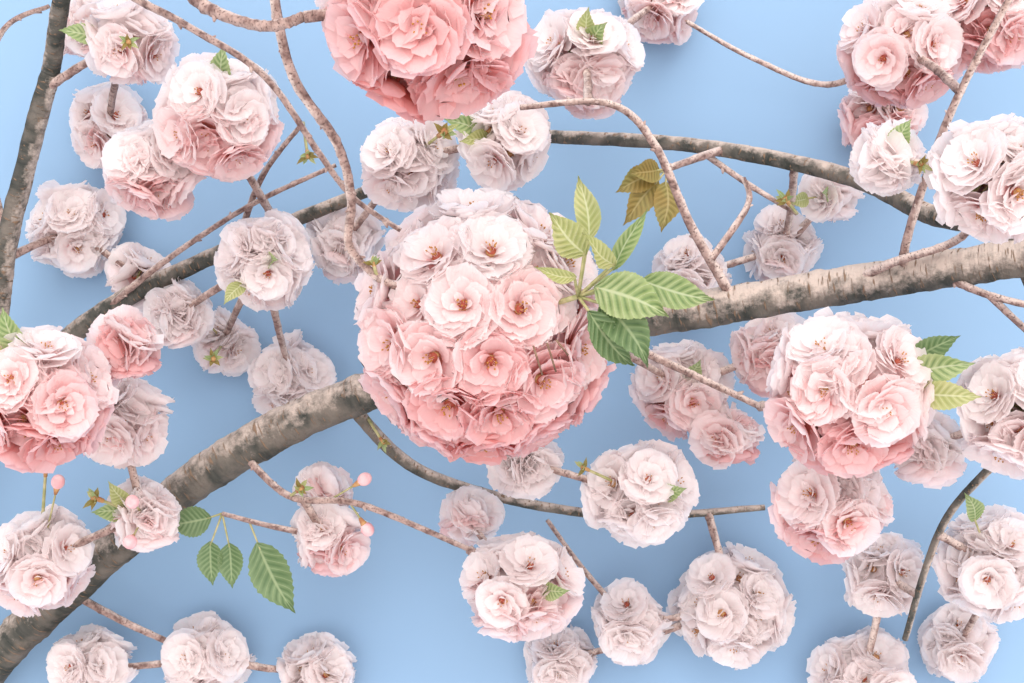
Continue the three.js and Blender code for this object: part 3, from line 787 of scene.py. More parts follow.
dashes = ramp(group, stretched_noise((6.0, 38.0, 1.0), 2.0).outputs["Fac"], fade(0.60, 0.68))
bands = ramp(group, stretched_noise((2.0, 15.0, 1.0), 4.0).outputs["Fac"], fade(0.36, 0.64))
patch = node(group, "ShaderNodeTexNoise",
             {"Vector": place, "Scale": given.outputs["Patch scale"]}, Detail=5.0)
patches = ramp(group, patch.outputs["Fac"], fade(0.42, 0.60))

# Painted sunlight on the side that faced the sun: how far round the limb, a little more towards its far
# end, and ragged by noise.
turn = node(group, "ShaderNodeSeparateXYZ", {"Vector": uv}).outputs["X"]
facing = math_node(group, "SINE", math_node(group, "MULTIPLY", turn, 2 * math.pi))
blotch = node(group, "ShaderNodeTexNoise", {"Vector": place}, Scale=85.0, Detail=6.0, Roughness=0.7)
far = node(group, "ShaderNodeSeparateXYZ", {"Vector": place}).outputs["X"]
outer = math_node(group, "MULTIPLY_ADD", far, 0.28, blotch.outputs["Fac"])
painted_lit_side = ramp(group, math_node(group, "MULTIPLY_ADD", facing, 0.27, outer), fade(0.48, 0.76))

fine = node(group, "ShaderNodeTexNoise", {"Vector": place}, Scale=520.0, Detail=4.0)
height = math_node(group, "ADD", bands, math_node(group, "ADD", dashes, fine.outputs["Fac"]))
for label, source in (("Dashes", dashes), ("Bands", bands), ("Patches", patches),
                      ("Lit side", painted_lit_side), ("Height", height)):
    group.links.new(source, result.inputs[label])
CHERRY_BARK = group
print("group", group.name)

# %% [markdown]
# The bark's colours are laid over each other by the group's masks: dark cracks, the middle tone,
# pale patches, a painted sunlit side, and last the corky dashes. Stalks, scales and buds are smooth
# and small, so a plain mottle of two tones is enough for them. The sawn face shows growth rings.

# %% Bark materials
def bark_material(name, dark, middle, pale, lit, cork, dash_scale, patch_scale, roughness):
    material, tree, shader = new_material(name)
    bark = node(tree, "ShaderNodeGroup", node_tree=CHERRY_BARK)
    bark.inputs["Dash scale"].default_value = dash_scale
    bark.inputs["Patch scale"].default_value = patch_scale
    banded = mix(tree, bark.outputs["Bands"], dark, middle)
    patched = mix(tree, bark.outputs["Patches"], banded, pale)
    # Painted sunlight: the lit colour lies on the side that faced the sun.
    painted_sunlit = mix(tree, bark.outputs["Lit side"], patched, lit)
    coloured = mix(tree, bark.outputs["Dashes"], painted_sunlit, cork)
    bump = node(tree, "ShaderNodeBump", {"Height": bark.outputs["Height"]},
                Strength=0.8, Distance=0.0012)
    tree.links.new(coloured, shader.inputs["Base Color"])
    tree.links.new(bump.outputs[0], shader.inputs["Normal"])
    shader.inputs["Roughness"].default_value = roughness
    shader.inputs["Specular IOR Level"].default_value = 0.25
    return material


def plain_material(name, dark, light, roughness, scale):
    material, tree, shader = new_material(name)
    mottle = node(tree, "ShaderNodeTexNoise", {"Vector": own_place(tree)}, Scale=scale, Detail=4.0)
    bump = node(tree, "ShaderNodeBump", {"Height": mottle.outputs["Fac"]},
                Strength=0.3, Distance=0.0004)
    tone = ramp(tree, mottle.outputs["Fac"], [(0.4, dark), (0.62, light)])
    tree.links.new(tone, shader.inputs["Base Color"])
    tree.links.new(bump.outputs[0], shader.inputs["Normal"])
    shader.inputs["Roughness"].default_value = roughness
    return material


def sawn_material():
    """Growth rings round the middle of the cut, which is where its map has its zero."""
    material, tree, shader = new_material("sawn_wood")
    rings = node(tree, "ShaderNodeTexWave", {"Vector": own_map(tree)}, wave_type="RINGS",
                 rings_direction="Z", Scale=1.6, Distortion=1.2, Detail=2.0)
    tone = ramp(tree, rings.outputs["Fac"], [(0.2, (0.62, 0.42, 0.26)), (0.8, (0.78, 0.60, 0.42))])
    tree.links.new(tone, shader.inputs["Base Color"])
    shader.inputs["Roughness"].default_value = 0.8
    return material


# Each bark's lit colour is painted sunlight on the side that faced the sun.
WOOD = [  # in the order of the zone numbers
    bark_material(
        "bough_bark", dark=(0.045, 0.050, 0.044), middle=(0.100, 0.096, 0.084),
        pale=(0.19, 0.165, 0.14), lit=(0.60, 0.50, 0.435), cork=(0.27, 0.18, 0.12),
        dash_scale=1.0, patch_scale=40.0, roughness=0.9,
    ),
    bark_material(
        "twig_bark", dark=(0.15, 0.085, 0.075), middle=(0.36, 0.24, 0.21),
        pale=(0.48, 0.34, 0.30), lit=(0.76, 0.62, 0.56), cork=(0.16, 0.10, 0.085),
        dash_scale=1.8, patch_scale=110.0, roughness=0.78,
    ),
    plain_material("stalk_green", (0.32, 0.32, 0.13), (0.50, 0.45, 0.24), 0.55, 180),
    plain_material("scale_red", (0.40, 0.17, 0.07), (0.58, 0.34, 0.14), 0.6, 220),
    plain_material("bud_pink", (0.86, 0.42, 0.44), (0.93, 0.60, 0.60), 0.55, 120),
    plain_material("stalk_brown", (0.16, 0.085, 0.05), (0.26, 0.16, 0.10), 0.55, 180),
    sawn_material(),
]
print("wood finishes", [m.name for m in WOOD])

# %% [markdown]
# Each limb is a piece of its own and replaces its solid. A bough wears old bark and a twig young
# bark, and twigs also carry small scaly buds, which stand off by turns as they grow.

# %% The limbs
BOUGHS = [name for name, limb in LIMBS.items() if max(limb["width"]) > BOUGH_OVER]
BUD_TURN = 2.4  # radians round the twig from one bud to the next


def side_buds(name, path, width, gap):
    """Small scaly buds that stand off a twig by turns."""
    random = seeded(name + "_buds")
    length = path_length(path)
    buds = []
    for k in range(1, int(length / gap)):
        share = (k + 0.4 * random()) * gap / length
        axis = heading(path, share)
        one, two = across(axis)
        turn = BUD_TURN * k + random()
        out = (one * math.cos(turn) + two * math.sin(turn) + axis * 0.7).normalized()
        place = along(path, share) + out * width * 0.32
        size = 2.6 + 1.8 * random()
        buds.append(cone(-0.5, 1.0, 0.62, 0.16, 7, TWIG).moved(frame_matrix(place, out, 0, size)))
    return buds


for name, limb in LIMBS.items():
    zone = BOUGH if name in BOUGHS else TWIG
    shapes = [limb_shape(name, limb["path"], limb["width"], limb.get("knobs", 0.0), zone)]
    if zone == TWIG:
        shapes += side_buds(name, limb["path"], limb["width"][0], 13 if "knobs" in limb else 24)
    for index, twig in enumerate(limb.get("twigs", [])):
        shapes.append(limb_shape(f"{name}_{index}", twig, TWIG_WIDTH, 0.05, TWIG))
        shapes += side_buds(f"{name}_{index}", twig, TWIG_WIDTH[0], 28)
    shape = on_floor(joined(shapes))
    piece(name + "_bark", shape, WOOD, [name], flat=SAWN)
    print(name, len(shape.sizes), "faces")

# %% [markdown]
# ## Camera, light and floor
# The photo was taken from close by with a slightly long lens, looking up into the crown. Here the
# bough lies down and the camera hangs straight over it, at the height from which the middle cluster
# is as large in the picture as in the photo.

# %% Camera
CAMERA_HEIGHT = 1380  # mm over the table's zero
PICTURE_WIDTH, FOCAL_PIXELS, SENSOR = 1024, 1538, 36  # pixels, pixels and mm
lens = bpy.data.cameras.new("camera")
lens.sensor_width = SENSOR
lens.lens = SENSOR * FOCAL_PIXELS / PICTURE_WIDTH
lens.clip_end = 50
camera = bpy.data.objects.new("camera", lens)
camera.location = placed([0, 0, CAMERA_HEIGHT])
bpy.context.scene.collection.objects.link(camera)
bpy.context.scene.camera = camera
print("lens", round(lens.lens, 2), "mm at", [round(v, 3) for v in camera.location])

# %% [markdown]
# Blossom looks best in soft light, which reaches between the petals. Most of it comes evenly from
# all round. A broad sun from beyond the picture's top edge leaves the balls of bloom pale above and
# deeper below, and a wide lamp over the bough lifts the side that the camera sees.

# %% Light
def soft_light(name, kind, place, power, colour, **shape):
    """A lamp that points at the ground under the bough's middle."""
    data = bpy.data.lights.new(name, kind)
    data.energy = power
    data.color = colour
    for key, value in shape.items():
        setattr(data, key, value)
    lamp = bpy.data.objects.new(name, data)
    lamp.location = place
    lamp.rotation_euler = (-Vector(place)).to_track_quat("-Z", "Y").to_euler()
    bpy.context.scene.collection.objects.link(lamp)


soft_light("key", "SUN", (0.5, 2.7, 2.6), 1.4, (1.0, 0.975, 0.94), angle=0.9)
soft_light("overhead", "AREA", (0.0, 0.3, 3.4), 50, (1.0, 0.97, 0.965), shape="DISK", size=3.0)
world = bpy.data.worlds.new("studio")
world.use_nodes = True
world.node_tree.nodes["Background"].inputs["Color"].default_value = (1.0, 0.935, 0.925, 1)
world.node_tree.nodes["Background"].inputs["Strength"].default_value = 1.24
bpy.context.scene.world = world
bpy.context.scene.view_settings.view_transform = "Standard"
print("lamps", [(light.name, round(light.energy, 2)) for light in bpy.data.lights])

# %% [markdown]
# The floor is a plain sheet in pale blue with hardly any mottle, so that the gaps between the limbs
# have the colour that they have in the photo. It is part of the studio and not of the bough.

# %% Floor
FLOOR_TONES = [(0.3, (0.265, 0.43, 0.635)), (0.7, (0.275, 0.44, 0.64))]
bm = bmesh.new()
bmesh.ops.create_grid(bm, x_segments=4, y_segments=4, size=4)
mesh = bpy.data.meshes.new("floor")
bm.to_mesh(mesh)
bm.free()
floor = bpy.data.objects.new("floor", mesh)
bpy.context.scene.collection.objects.link(floor)
paint, tree, shader = new_material("floor_paint")
cloud = node(tree, "ShaderNodeTexNoise", {"Vector": own_place(tree)}, Scale=3.0, Detail=3.0)
tree.links.new(ramp(tree, cloud.outputs["Fac"], FLOOR_TONES), shader.inputs["Base Color"])
shader.inputs["Roughness"].default_value = 0.9
mesh.materials.append(paint)
floor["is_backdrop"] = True
print("floor", [round(v, 1) for v in floor.dimensions[:2]], "m")

# %% [markdown]
# ## Petals
# A double cherry blossom has about thirty petals in whorls. Each is a thin spoon, notched and
# frilled at the tip, nearly white at its edge and pinker towards its foot. A petal is one small grid
# pressed into that outline, which is told as shares: how far along it is, and its width there. Its
# rows carry a tint number, so that the pink deepens towards the foot in plain colours. The rows are
# closer together near the tip, where the outline turns fastest.

# %% One petal
PETAL_OUTLINE = (
    (0, 0.12, 0.3, 0.5, 0.7, 0.86, 0.95, 1),
    (0.12, 0.30, 0.62, 0.88, 1.0, 0.93, 0.74, 0.40),
)
ROW_STARTS, ROW_TINTS = (0, 0.25, 0.5, 0.9), (4, 1, 0, -1)


def petal(random, length, width, rows, cols, bowl, curl):
    """A petal along +X from its foot at the origin, with its face towards +Z.

    Bowl lifts its tip and curl turns the tip down again. The notch and the frill shape its edge.
    """
    phase, frill = random() * TURN, (0.014 + 0.022 * random()) * cols / 8
    notch, side_cup, sway = 0.03 + 0.06 * random(), 0.16 + 0.14 * random(), 0.10 * (random() - 0.5)
    bm = mapped_grid(cols, rows)
    heights = [f.calc_center_median().y + 0.5 for f in bm.faces]
    for v in bm.verts:
        u, t = 2 * v.co.x, 1 - (0.5 - v.co.y) ** 1.35
        half = width * np.interp(t, *PETAL_OUTLINE)
        tip = 1 - 0.07 * u * u * t * t - notch * math.exp(-((u / 0.22) ** 2)) * t**10
        tip += frill * (math.sin(1.5 * cols * u + phase) + 0.5 * math.sin(3.1 * u + 2 * phase)) * t**8
        x = length * t * tip
        z = side_cup * half * u * u + width * 0.06 * t * t * math.sin(4.4 * u + phase)
        z += length * (bowl * t * t - curl * t**4)
        v.co = Vector((x, half * u + sway * x * t, z))
    zones = [ROW_TINTS[max(k for k, s in enumerate(ROW_STARTS) if h >= s)] for h in heights]
    return shape_of(bm, zones)


print("tints of a petal's rows", petal(seeded("trial"), 0.5, 0.3, 5, 1, 0, 0).zones)

# %% [markdown]
# Petals overlap like roof tiles in their whorls. The outer whorl lies nearly flat, each next one
# stands steeper and is shorter, and the last few are curled scraps round the eye. There a tuft of
# stamens stands in a brown-red throat. Each whorl is a table row: how many petals, how many degrees
# they lean from the bloom's axis, their length and half width as shares of the bloom's width, and
# how far they are bowled up and curled down again.

# %% One bloom
WHORLS = (
    (6, 92, 0.50, 0.275, 0.32, 0.00),
    (6, 80, 0.52, 0.275, 0.26, 0.03),
    (6, 66, 0.52, 0.250, 0.16, 0.06),
    (5, 53, 0.46, 0.205, 0.08, 0.12),
    (5, 40, 0.37, 0.150, 0.02, 0.16),
    (3, 22, 0.27, 0.060, 0.00, 0.20),
)
FOOT = -0.27  # the height of the petals' feet, where the bloom's eye is 0 and its width is 1
TINTS = 8
THROAT, STAMEN, ANTHER = TINTS, TINTS + 1, TINTS + 2


def bloom(random, rows, cols, stamens, whorls=WHORLS):
    """A bloom of width 1 that opens towards +Z, its eye at the origin."""
    parts = []
    for count, lean, length, width, bowl, curl in whorls:
        start = random() * TURN
        for k in range(count):
            lean_k = math.radians(lean + 15 * (random() - 0.5))
            size = 0.88 + 0.18 * random()
            one = petal(random, length * size, width * size, rows, cols, bowl, curl)
            turn = Matrix.Rotation(start + (k + 0.25 * (random() - 0.5)) / count * 2 * math.pi, 4, "Z")
            tilt = Matrix.Rotation(lean_k - math.pi / 2, 4, "Y")
            twist = Matrix.Rotation(0.14 + 0.4 * (random() - 0.5), 4, "X")
            lift = Matrix.Translation((0.02, 0, FOOT))
            parts.append(one.moved(turn @ lift @ tilt @ twist))
    parts.append(cone(FOOT - 0.08, FOOT + 0.10, 0.012, 0.062, 8, THROAT))
    for k in range(stamens):
        lean_k = Matrix.Rotation(0.12 + 0.3 * random(), 4, "Y")
        turn = Matrix.Rotation(k / stamens * TURN + random(), 4, "Z")
        tall = 0.13 + 0.05 * random()
        place = turn @ Matrix.Translation((0.01, 0, FOOT + 0.04)) @ lean_k
        parts.append(cone(0, tall, 0.004, 0.004, 3, STAMEN).moved(place))
        parts.append(cone(tall, tall + 0.022, 0.012, 0.008, 4, ANTHER).moved(place))
    return joined(parts)


print("petals in a full bloom", sum(whorl[0] for whorl in WHORLS))

# %% [markdown]
# Hundreds of blooms are needed, and no two neighbours should be twins. A few different ones of each
# fineness, turned and sized at random, are enough for that. The middle cluster gets the finest, the
# clusters near the camera the next, and the rest have fewer and coarser petals.

# %% A stock of blooms
FEWER_WHORLS = WHORLS[:3] + WHORLS[4:]
random = seeded("garden_blooms")
FINE_BLOOMS = [bloom(random, 5, 8, stamens=9) for _ in range(8)]
NEAR_BLOOMS = [bloom(random, 4, 6, stamens=7, whorls=FEWER_WHORLS) for _ in range(6)]
BLOOMS = [bloom(random, 4, 4, stamens=4, whorls=FEWER_WHORLS) for _ in range(8)]
for label, kind in (("fine", FINE_BLOOMS), ("near", NEAR_BLOOMS), ("usual", BLOOMS)):
    print(label, "bloom", len(kind[0].sizes), "faces")

# %% [markdown]
# ## The flesh of petals
# A petal's fine veins run up from its foot. They are a node group that all the tints use: it reads
# the petal's own map, stretches a noise along it and puts out a mask of streaks. The veins are too
# fine to feel, so they have no bump.

# %% The petal veins' node group
group, given, result = new_group(
    "fan of veins",
    [("Streaks", "NodeSocketFloat", 22.0)],
    [("Streak", "NodeSocketFloat")],
)
stretch = node(group, "ShaderNodeMapping", {"Vector": own_map(group)}, Scale=(1.0, 0.16, 1.0))
streak = node(group, "ShaderNodeTexNoise",
              {"Vector": stretch.outputs[0], "Scale": given.outputs["Streaks"]}, Detail=2.0)
group.links.new(ramp(group, streak.outputs["Fac"], fade(0.40, 0.62)), result.inputs["Streak"])
FAN = group
print("group", group.name)

# %% [markdown]
# A petal is thin enough for light to pass, so its material is a matt surface mixed with some light
# let through. There are eight tints of it, from nearly white to the deep pink of a bloom's shaded
# foot, and three more finishes for the throat, the stamens and the anthers.

# %% Petal materials
def let_through(tree, shader, thin, share):
    """The surface is the shader's, but for a share of light that passes through the thin flesh."""
    both = node(tree, "ShaderNodeMixShader", Fac=share)
    tree.links.new(shader.outputs[0], both.inputs[1])
    tree.links.new(thin.outputs[0], both.inputs[2])
    tree.links.new(both.outputs[0], tree.nodes["Material Output"].inputs["Surface"])


def petal_material(name, colour, through):
    material, tree, shader = new_material(name)
    fan = node(tree, "ShaderNodeGroup", node_tree=FAN)
    deeper = [c * k for c, k in zip(colour, (0.99, 0.95, 0.955))]
    tone = mix(tree, fan.outputs["Streak"], colour, deeper)
    tree.links.new(tone, shader.inputs["Base Color"])
    shader.inputs["Roughness"].default_value = 0.62
    shader.inputs["Specular IOR Level"].default_value = 0.2
    glow = mix(tree, 0.5, tone, (1.0, 0.94, 0.93), "MULTIPLY")
    let_through(tree, shader, node(tree, "ShaderNodeBsdfTranslucent", {"Color": glow}), through)
    return material


TINT_COLOURS = [
    (0.995, 0.970, 0.965), (0.993, 0.948, 0.943), (0.990, 0.912, 0.906), (0.984, 0.835, 0.828),
    (0.955, 0.735, 0.730), (0.925, 0.640, 0.632), (0.900, 0.520, 0.500), (0.840, 0.370, 0.310),
]
PETALS = [petal_material(f"petal_tint_{k}", colour, 0.55) for k, colour in enumerate(TINT_COLOURS)]
THROAT_RED = petal_material("throat_red", (0.46, 0.11, 0.07), 0.1)
STAMEN_PINK = petal_material("stamen_pink", (0.86, 0.55, 0.46), 0.2)
ANTHER_GOLD = petal_material("anther_gold", (0.52, 0.25, 0.05), 0.0)
BLOOM_MATERIALS = [*PETALS, THROAT_RED, STAMEN_PINK, ANTHER_GOLD]
print("petal finishes", len(BLOOM_MATERIALS))

# %% [markdown]
# ## Balls of bloom
# On the tree the blooms of a spur push each other outwards until they form a ball. The rule spreads
# them evenly round each ball's centre, straight out, and leaves out any that a limb has no room for.
# A second, sparser layer of blooms sits lower, in the hollows between the first, where the crowd
# keeps the light off, and is one tint pinker as painted shade.

# %% Dealing out the blooms
EDGE, RIM_UP = 0.46, 0.10  # a bloom's rim as shares of its width: how far out, and how far up
ROOM, ROOM_BETWEEN = 0.36, 0.34  # how near a limb may come to a bloom, as a share of its width
SUNK = 0.14  # how much lower the blooms in the hollows sit, as a share of their width
CROWD = 11.5  # blooms on a ball whose radius is one bloom's width, besides three more


def bloom_radius(reach, width):
    """How far from a ball's centre the blooms' eyes sit, if their rims are to end at its reach."""
    return math.sqrt(reach**2 - (EDGE * width) ** 2) - RIM_UP * width


def lobe_centre(lobe, width):
    """The centre of a ball, which lies on the ground where the table gives it no height."""
    x, y, z, reach = lobe
    return Vector((x, y, z or bloom_radius(reach, width) + RIM_UP * width))


def touches_limb(point, room):
    """Whether a limb comes nearer to the point than the room it needs."""
    for limb in LIMBS.values():
        share = nearest_share(limb["path"], point)
        radius = (limb["width"][0] + (limb["width"][1] - limb["width"][0]) * share) / 2
        if (along(limb["path"], share) - point).length < room + radius:
            return True
    return False


def blooms_on(radius, width):
    """How many blooms cover a ball."""
    return round(CROWD * (radius / width) ** 2) + 3


def lobe_blooms(random, centre, radius, width):
    """The place, axis and roll of each outer bloom of a ball."""
    for axis in spread(blooms_on(radius, width)):
        roll = random() * 2 * math.pi
        place = centre + axis * radius
        if not touches_limb(place, ROOM * width):
            yield place, axis, roll


def between(taken, count):
    """Directions in the hollows between those already taken, closer together on the seen side."""
    room = 1.02 * math.sqrt(4 * math.pi / count) / math.sqrt(3)  # to the middle between three
    extra = []
    for axis in spread(count * 6):
        closer = 0.8 if axis.z > 0.5 else 1
        if all(axis.angle(other) > room * closer for other in taken + extra):
            extra.append(axis)
    return extra


def lobes_of(name, cluster):
    """Each ball of a cluster: its middle, its radius, its outer blooms and those in the hollows."""
    random = seeded(name)
    width = cluster["bloom"]
    for lobe in cluster["lobes"]:
        centre, radius = lobe_centre(lobe, width), bloom_radius(lobe[3], width)
        blooms = list(lobe_blooms(random, centre, radius, width))
        extra = []
        for axis in between([axis for _, axis, _ in blooms], blooms_on(radius, width)):
            place = centre + axis * (radius - SUNK * width)
            if not touches_limb(place, ROOM_BETWEEN * width):
                extra.append((place, axis, TURN * random()))
        yield dict(centre=centre, radius=radius, blooms=blooms, between=extra)


print("outer blooms on a ball of 60 mm", blooms_on(bloom_radius(60, 46), 46))

# %% [markdown]
# Colour keeps to whole blooms. A bloom's tint goes by the side of the ball that it sits on, as painted
# shade: palest towards the light, pinker below and at the back, with a little chance. Moving all its
# petals up or down the scale of tints keeps the deeper foot that each petal has.

# %% Tints
def tinted(shape, offset):
    """The same bloom with its petals' tints moved up or down the scale."""
    zones = shape.zones.copy()
    petals = zones < TINTS
    zones[petals] = np.clip(zones[petals] + offset, 0, TINTS - 1)
    return Shape(shape.points, shape.corners, shape.sizes, zones, shape.uvs)


def tint_with_painted_shade(axis, base, random, shade_slope=2.5):
    """How many steps pinker a bloom is that opens along the axis. Base is its cluster's tint, and the
    axis adds painted shade: pinker below and at the back.
    """
    return round(1.3 + 3.0 * base - shade_slope * axis.y - 0.7 * axis.z + 0.9 * (random() - 0.5))


print("tint of a bloom that faces the camera", tint_with_painted_shade(Vector((0, 0, 1)), 0, lambda: 0.5))

# %% [markdown]
# ## Blossom clusters
# Each cluster replaces its solid. All its blooms are joined into one mesh. The spur, the bloom
# stalks and the bud scales are another mesh, and the leaves a third, because each kind has its own
# finish.

# %% Stalks
STALK_END = 0.34  # how far below its eye a bloom's stalk ends, as a share of its width
CUP = (-0.36, -0.2, 0.03, 0.075)  # a bloom's foot: its ends on the axis, and its radii there


def tube(path, width, zone, around, steps):
    """A thin smooth stalk."""

    def surface(centre, out, turn, share):
        return (width[0] + (width[1] - width[0]) * share) / 2

    return rolled([tuple(point) for point in path], around, steps, surface, zone)


def spur_path(start, end, middle=None):
    """A path that bows up a little, or one through the points given."""
    if middle:
        return [tuple(start), *middle, tuple(end)]
    half = (start + end) / 2
    half.z += 0.08 * (end - start).length
    return [tuple(start), tuple(half), tuple(end)]


def bloom_foot(place, axis, width, roll, sides):
    """The scaly cup that a bloom sits in. The place is the bloom's eye."""
    return cone(*CUP, sides, RED_SCALE).moved(frame_matrix(place, axis, roll, width))


print("a bloom's foot has", len(cone(*CUP, 6, RED_SCALE).sizes), "faces")

# %% [markdown]
# Blooms of one ball must not look stamped out. So each is sized, nodded and pushed in or out a
# little at random, on top of its own turn, before its petals join the cluster's mesh.

# %% Blossom of the clusters
NOD, PUSH = 0.36, 0.13  # how far a bloom may nod, and how far it may sit off its place
stalks, blades = [], []
for name, cluster in CLUSTERS.items():
    width, tint = cluster["bloom"], cluster.get("tint", 0)
    if not width:
        continue
    looks = seeded(name + "_looks")
    kinds = NEAR_BLOOMS if cluster.get("fine") else BLOOMS
    petals = []
    for lobe in lobes_of(name, cluster):
        for place, axis, roll in lobe["blooms"] + lobe["between"]:
            kind = kinds[int(looks() * len(kinds))]
            shaded_in_hollow = (place - lobe["centre"]).length < lobe["radius"] - 1  # it sits in a hollow
            size = width * ((0.92 if shaded_in_hollow else 0.99) + 0.14 * looks())
            # A bloom in a hollow is one tint pinker, as painted shade.
            offset = tint_with_painted_shade(axis, tint, looks) + shaded_in_hollow
            nod = Vector([NOD * (looks() - 0.5) for _ in range(3)])
            nudged = place + axis * (PUSH * width * (looks() - 0.6))
            turned = frame_matrix(nudged, (axis + nod).normalized(), roll, size)
            petals.append(tinted(kind, offset).moved(turned))
            cup = place - axis * STALK_END * width
            stalks.append(tube([lobe["centre"], cup], (2.2, 1.8), GREEN_STALK, 4, 1))
            stalks.append(bloom_foot(place, axis, width, roll, 6))
    shape = on_floor(joined(petals))
    piece(name + "_petals", shape, BLOOM_MATERIALS, [name])
    print(name, len(shape.sizes), "faces")

# %% [markdown]
# ## The middle cluster
# The nearest ball of bloom fills the middle of the picture, so each of its front blooms is a solid
# and a piece of its own, with twice the faces. Their places were read from the photo one by one, and
# they open straight out of an egg-shaped ball. The rear ones are dealt out evenly, by the solids'
# rule, wherever no front bloom is near.

# %% Places of the middle blooms
APART = 0.8  # how near a rear bloom may come to a front one, as a share of a bloom's width


def middle_blooms():
    """The ball's heart, and the place, axis, width and roll of its front and of its rear blooms."""
    random = seeded("middle_cluster")
    heart, reach = Vector(MIDDLE["centre"]), Vector(MIDDLE["reach"])

    def place(offset):
        axis = Vector([o / r for o, r in zip(offset, reach)]).normalized()
        width = MIDDLE["bloom"] * (0.96 + 0.1 * random())
        return dict(place=heart + Vector(offset), axis=axis, width=width, roll=6 * random())

    near = []
    for x, y in MIDDLE["front"]:
        left = 1 - (x / reach.x) ** 2 - (y / reach.y) ** 2
        near.append(place((x, y, reach.z * math.sqrt(max(0, left)))))
    far = []
    for axis in spread(MIDDLE["rear"] * 2):
        one = dict(place([a * r for a, r in zip(axis, reach)]), axis=axis)
        free = all((other["place"] - one["place"]).length > APART * MIDDLE["bloom"] for other in near)
        if free and axis.z < 0 and not touches_limb(one["place"], ROOM * MIDDLE["bloom"]):
            far.append(one)
    return heart, near, far


HEART, near, far = middle_blooms()
print("middle", len(near), "front and", len(far), "rear blooms")

# %% [markdown]
# No two of the front blooms look alike on the tree. The fine blooms of the stock take turns here,
# each with its own roll and width. The ball is pale above and pink below as painted shade, so the
# tint changes faster with the side that a bloom sits on than it does on the other balls.

# %% Front blooms
# The slope is how fast the painted shade deepens the tint down the ball.
FRONT_PINK, BACK_PINK, PAINTED_SHADE_SLOPE = 0.62, 0.65, 2.8
FRONT_SWELL, REAR_SWELL = 1.06, 1.04  # loose petals reach a little farther than the solid bloom
looks = seeded("middle_looks")
for index, one in enumerate(near):
    kind = FINE_BLOOMS[index % len(FINE_BLOOMS)]
    offset = tint_with_painted_shade(one["axis"], FRONT_PINK, looks, PAINTED_SHADE_SLOPE)
    turned = frame_matrix(one["place"], one["axis"], one["roll"], one["width"] * FRONT_SWELL)
    number = f"{index + 1:02d}"
    piece(f"middle_petals_{number}", tinted(kind, offset).moved(turned), BLOOM_MATERIALS,
          [f"middle_bloom_{number}"])
print("a front bloom has", len(FINE_BLOOMS[0].sizes), "faces")

# %% [markdown]
# Between the front blooms the ball has to be closed, or one would look through it at the stalks. The
# rear blooms may be coarse. Fine ones are sunk into the hollows, wherever a direction lies far enough
# from every other bloom. All of them are one piece, which replaces the spur's solid.

# %% Rear blooms and those in the hollows
WAYS_TRIED = 240
HOLLOW_GAP, HOLLOW_SUNK, HOLLOW_ROOM, HOLLOW_BLOOM = 0.40, 7, 14, 49  # radians, then mm
petals = []
for one in far:
    kind = BLOOMS[int(looks() * len(BLOOMS))]
    turned = frame_matrix(one["place"], one["axis"], one["roll"], one["width"] * REAR_SWELL)
    petals.append(tinted(kind, tint_with_painted_shade(one["axis"], BACK_PINK, looks, PAINTED_SHADE_SLOPE)).moved(turned))
taken = [(one["place"] - HEART).normalized() for one in near + far]
hollows = [Vector(way).normalized() for way in MIDDLE["fill"]]
for axis in spread(WAYS_TRIED):
    if all(axis.angle(other) > HOLLOW_GAP for other in taken + hollows):
        hollows.append(axis)
for axis in hollows:
    place = HEART + Vector([a * (r - HOLLOW_SUNK) for a, r in zip(axis, MIDDLE["reach"])])
    if not touches_limb(place, HOLLOW_ROOM):
        kind = FINE_BLOOMS[int(looks() * len(FINE_BLOOMS))]
        offset = tint_with_painted_shade(axis, BACK_PINK, looks, PAINTED_SHADE_SLOPE)
        petals.append(tinted(kind, offset).moved(frame_matrix(place, axis, 6 * looks(), HOLLOW_BLOOM)))
shape = joined(petals)
piece("middle_rear_petals", shape, BLOOM_MATERIALS, ["middle_spur"])
print(len(hollows), "blooms in hollows,", len(shape.sizes), "faces behind")

# %% [markdown]
# A bloom hangs on a thin green stalk from the heart of its ball and sits in a small scaly cup. Both
# show only where petals part. Three bare brown stalks cross a gap near the ball's middle.

# %% Stalks of the middle blooms
BARE_STALKS = (
    ((14, -3, 372), (20, -22, 364)), ((23, -1, 373), (29, -20, 364)), ((29, 1, 372), (37, -9, 366)),
)
for one in near + far:
    cup = one["place"] - one["axis"] * STALK_END * one["width"]
    stalks.append(tube([HEART, cup], (3.0, 1.9), GREEN_STALK, 6, 2))
    stalks.append(bloom_foot(one["place"], one["axis"], one["width"], one["roll"], 8))
for start, end in BARE_STALKS:
    stalks.append(tube([start, end], (1.6, 1.4), BROWN_STALK, 6, 2))
print("stalks and feet so far", len(stalks))

# %% [markdown]
# ## Leaves
# The young leaves open with the blossom: oval with a long drip tip, sharply toothed, folded along
# the midrib and still pleated between their side veins. One grid becomes a leaf when its rows are
# pressed into that outline. Colour keeps to whole leaves: lime, fresh green, dark green or bronze.

# %% One leaf
LEAF_OUTLINE = (
    (0, 0.05, 0.15, 0.3, 0.42, 0.55, 0.7, 0.82, 0.9, 0.96, 1),
    (0.04, 0.34, 0.72, 0.97, 1.0, 0.93, 0.68, 0.38, 0.17, 0.07, 0.0),
)
LIME, FRESH, DARK, BRONZE = range(4)
LEAF_BOW, VEINS, VEIN_SLANT = 0.12, 9, 0.2


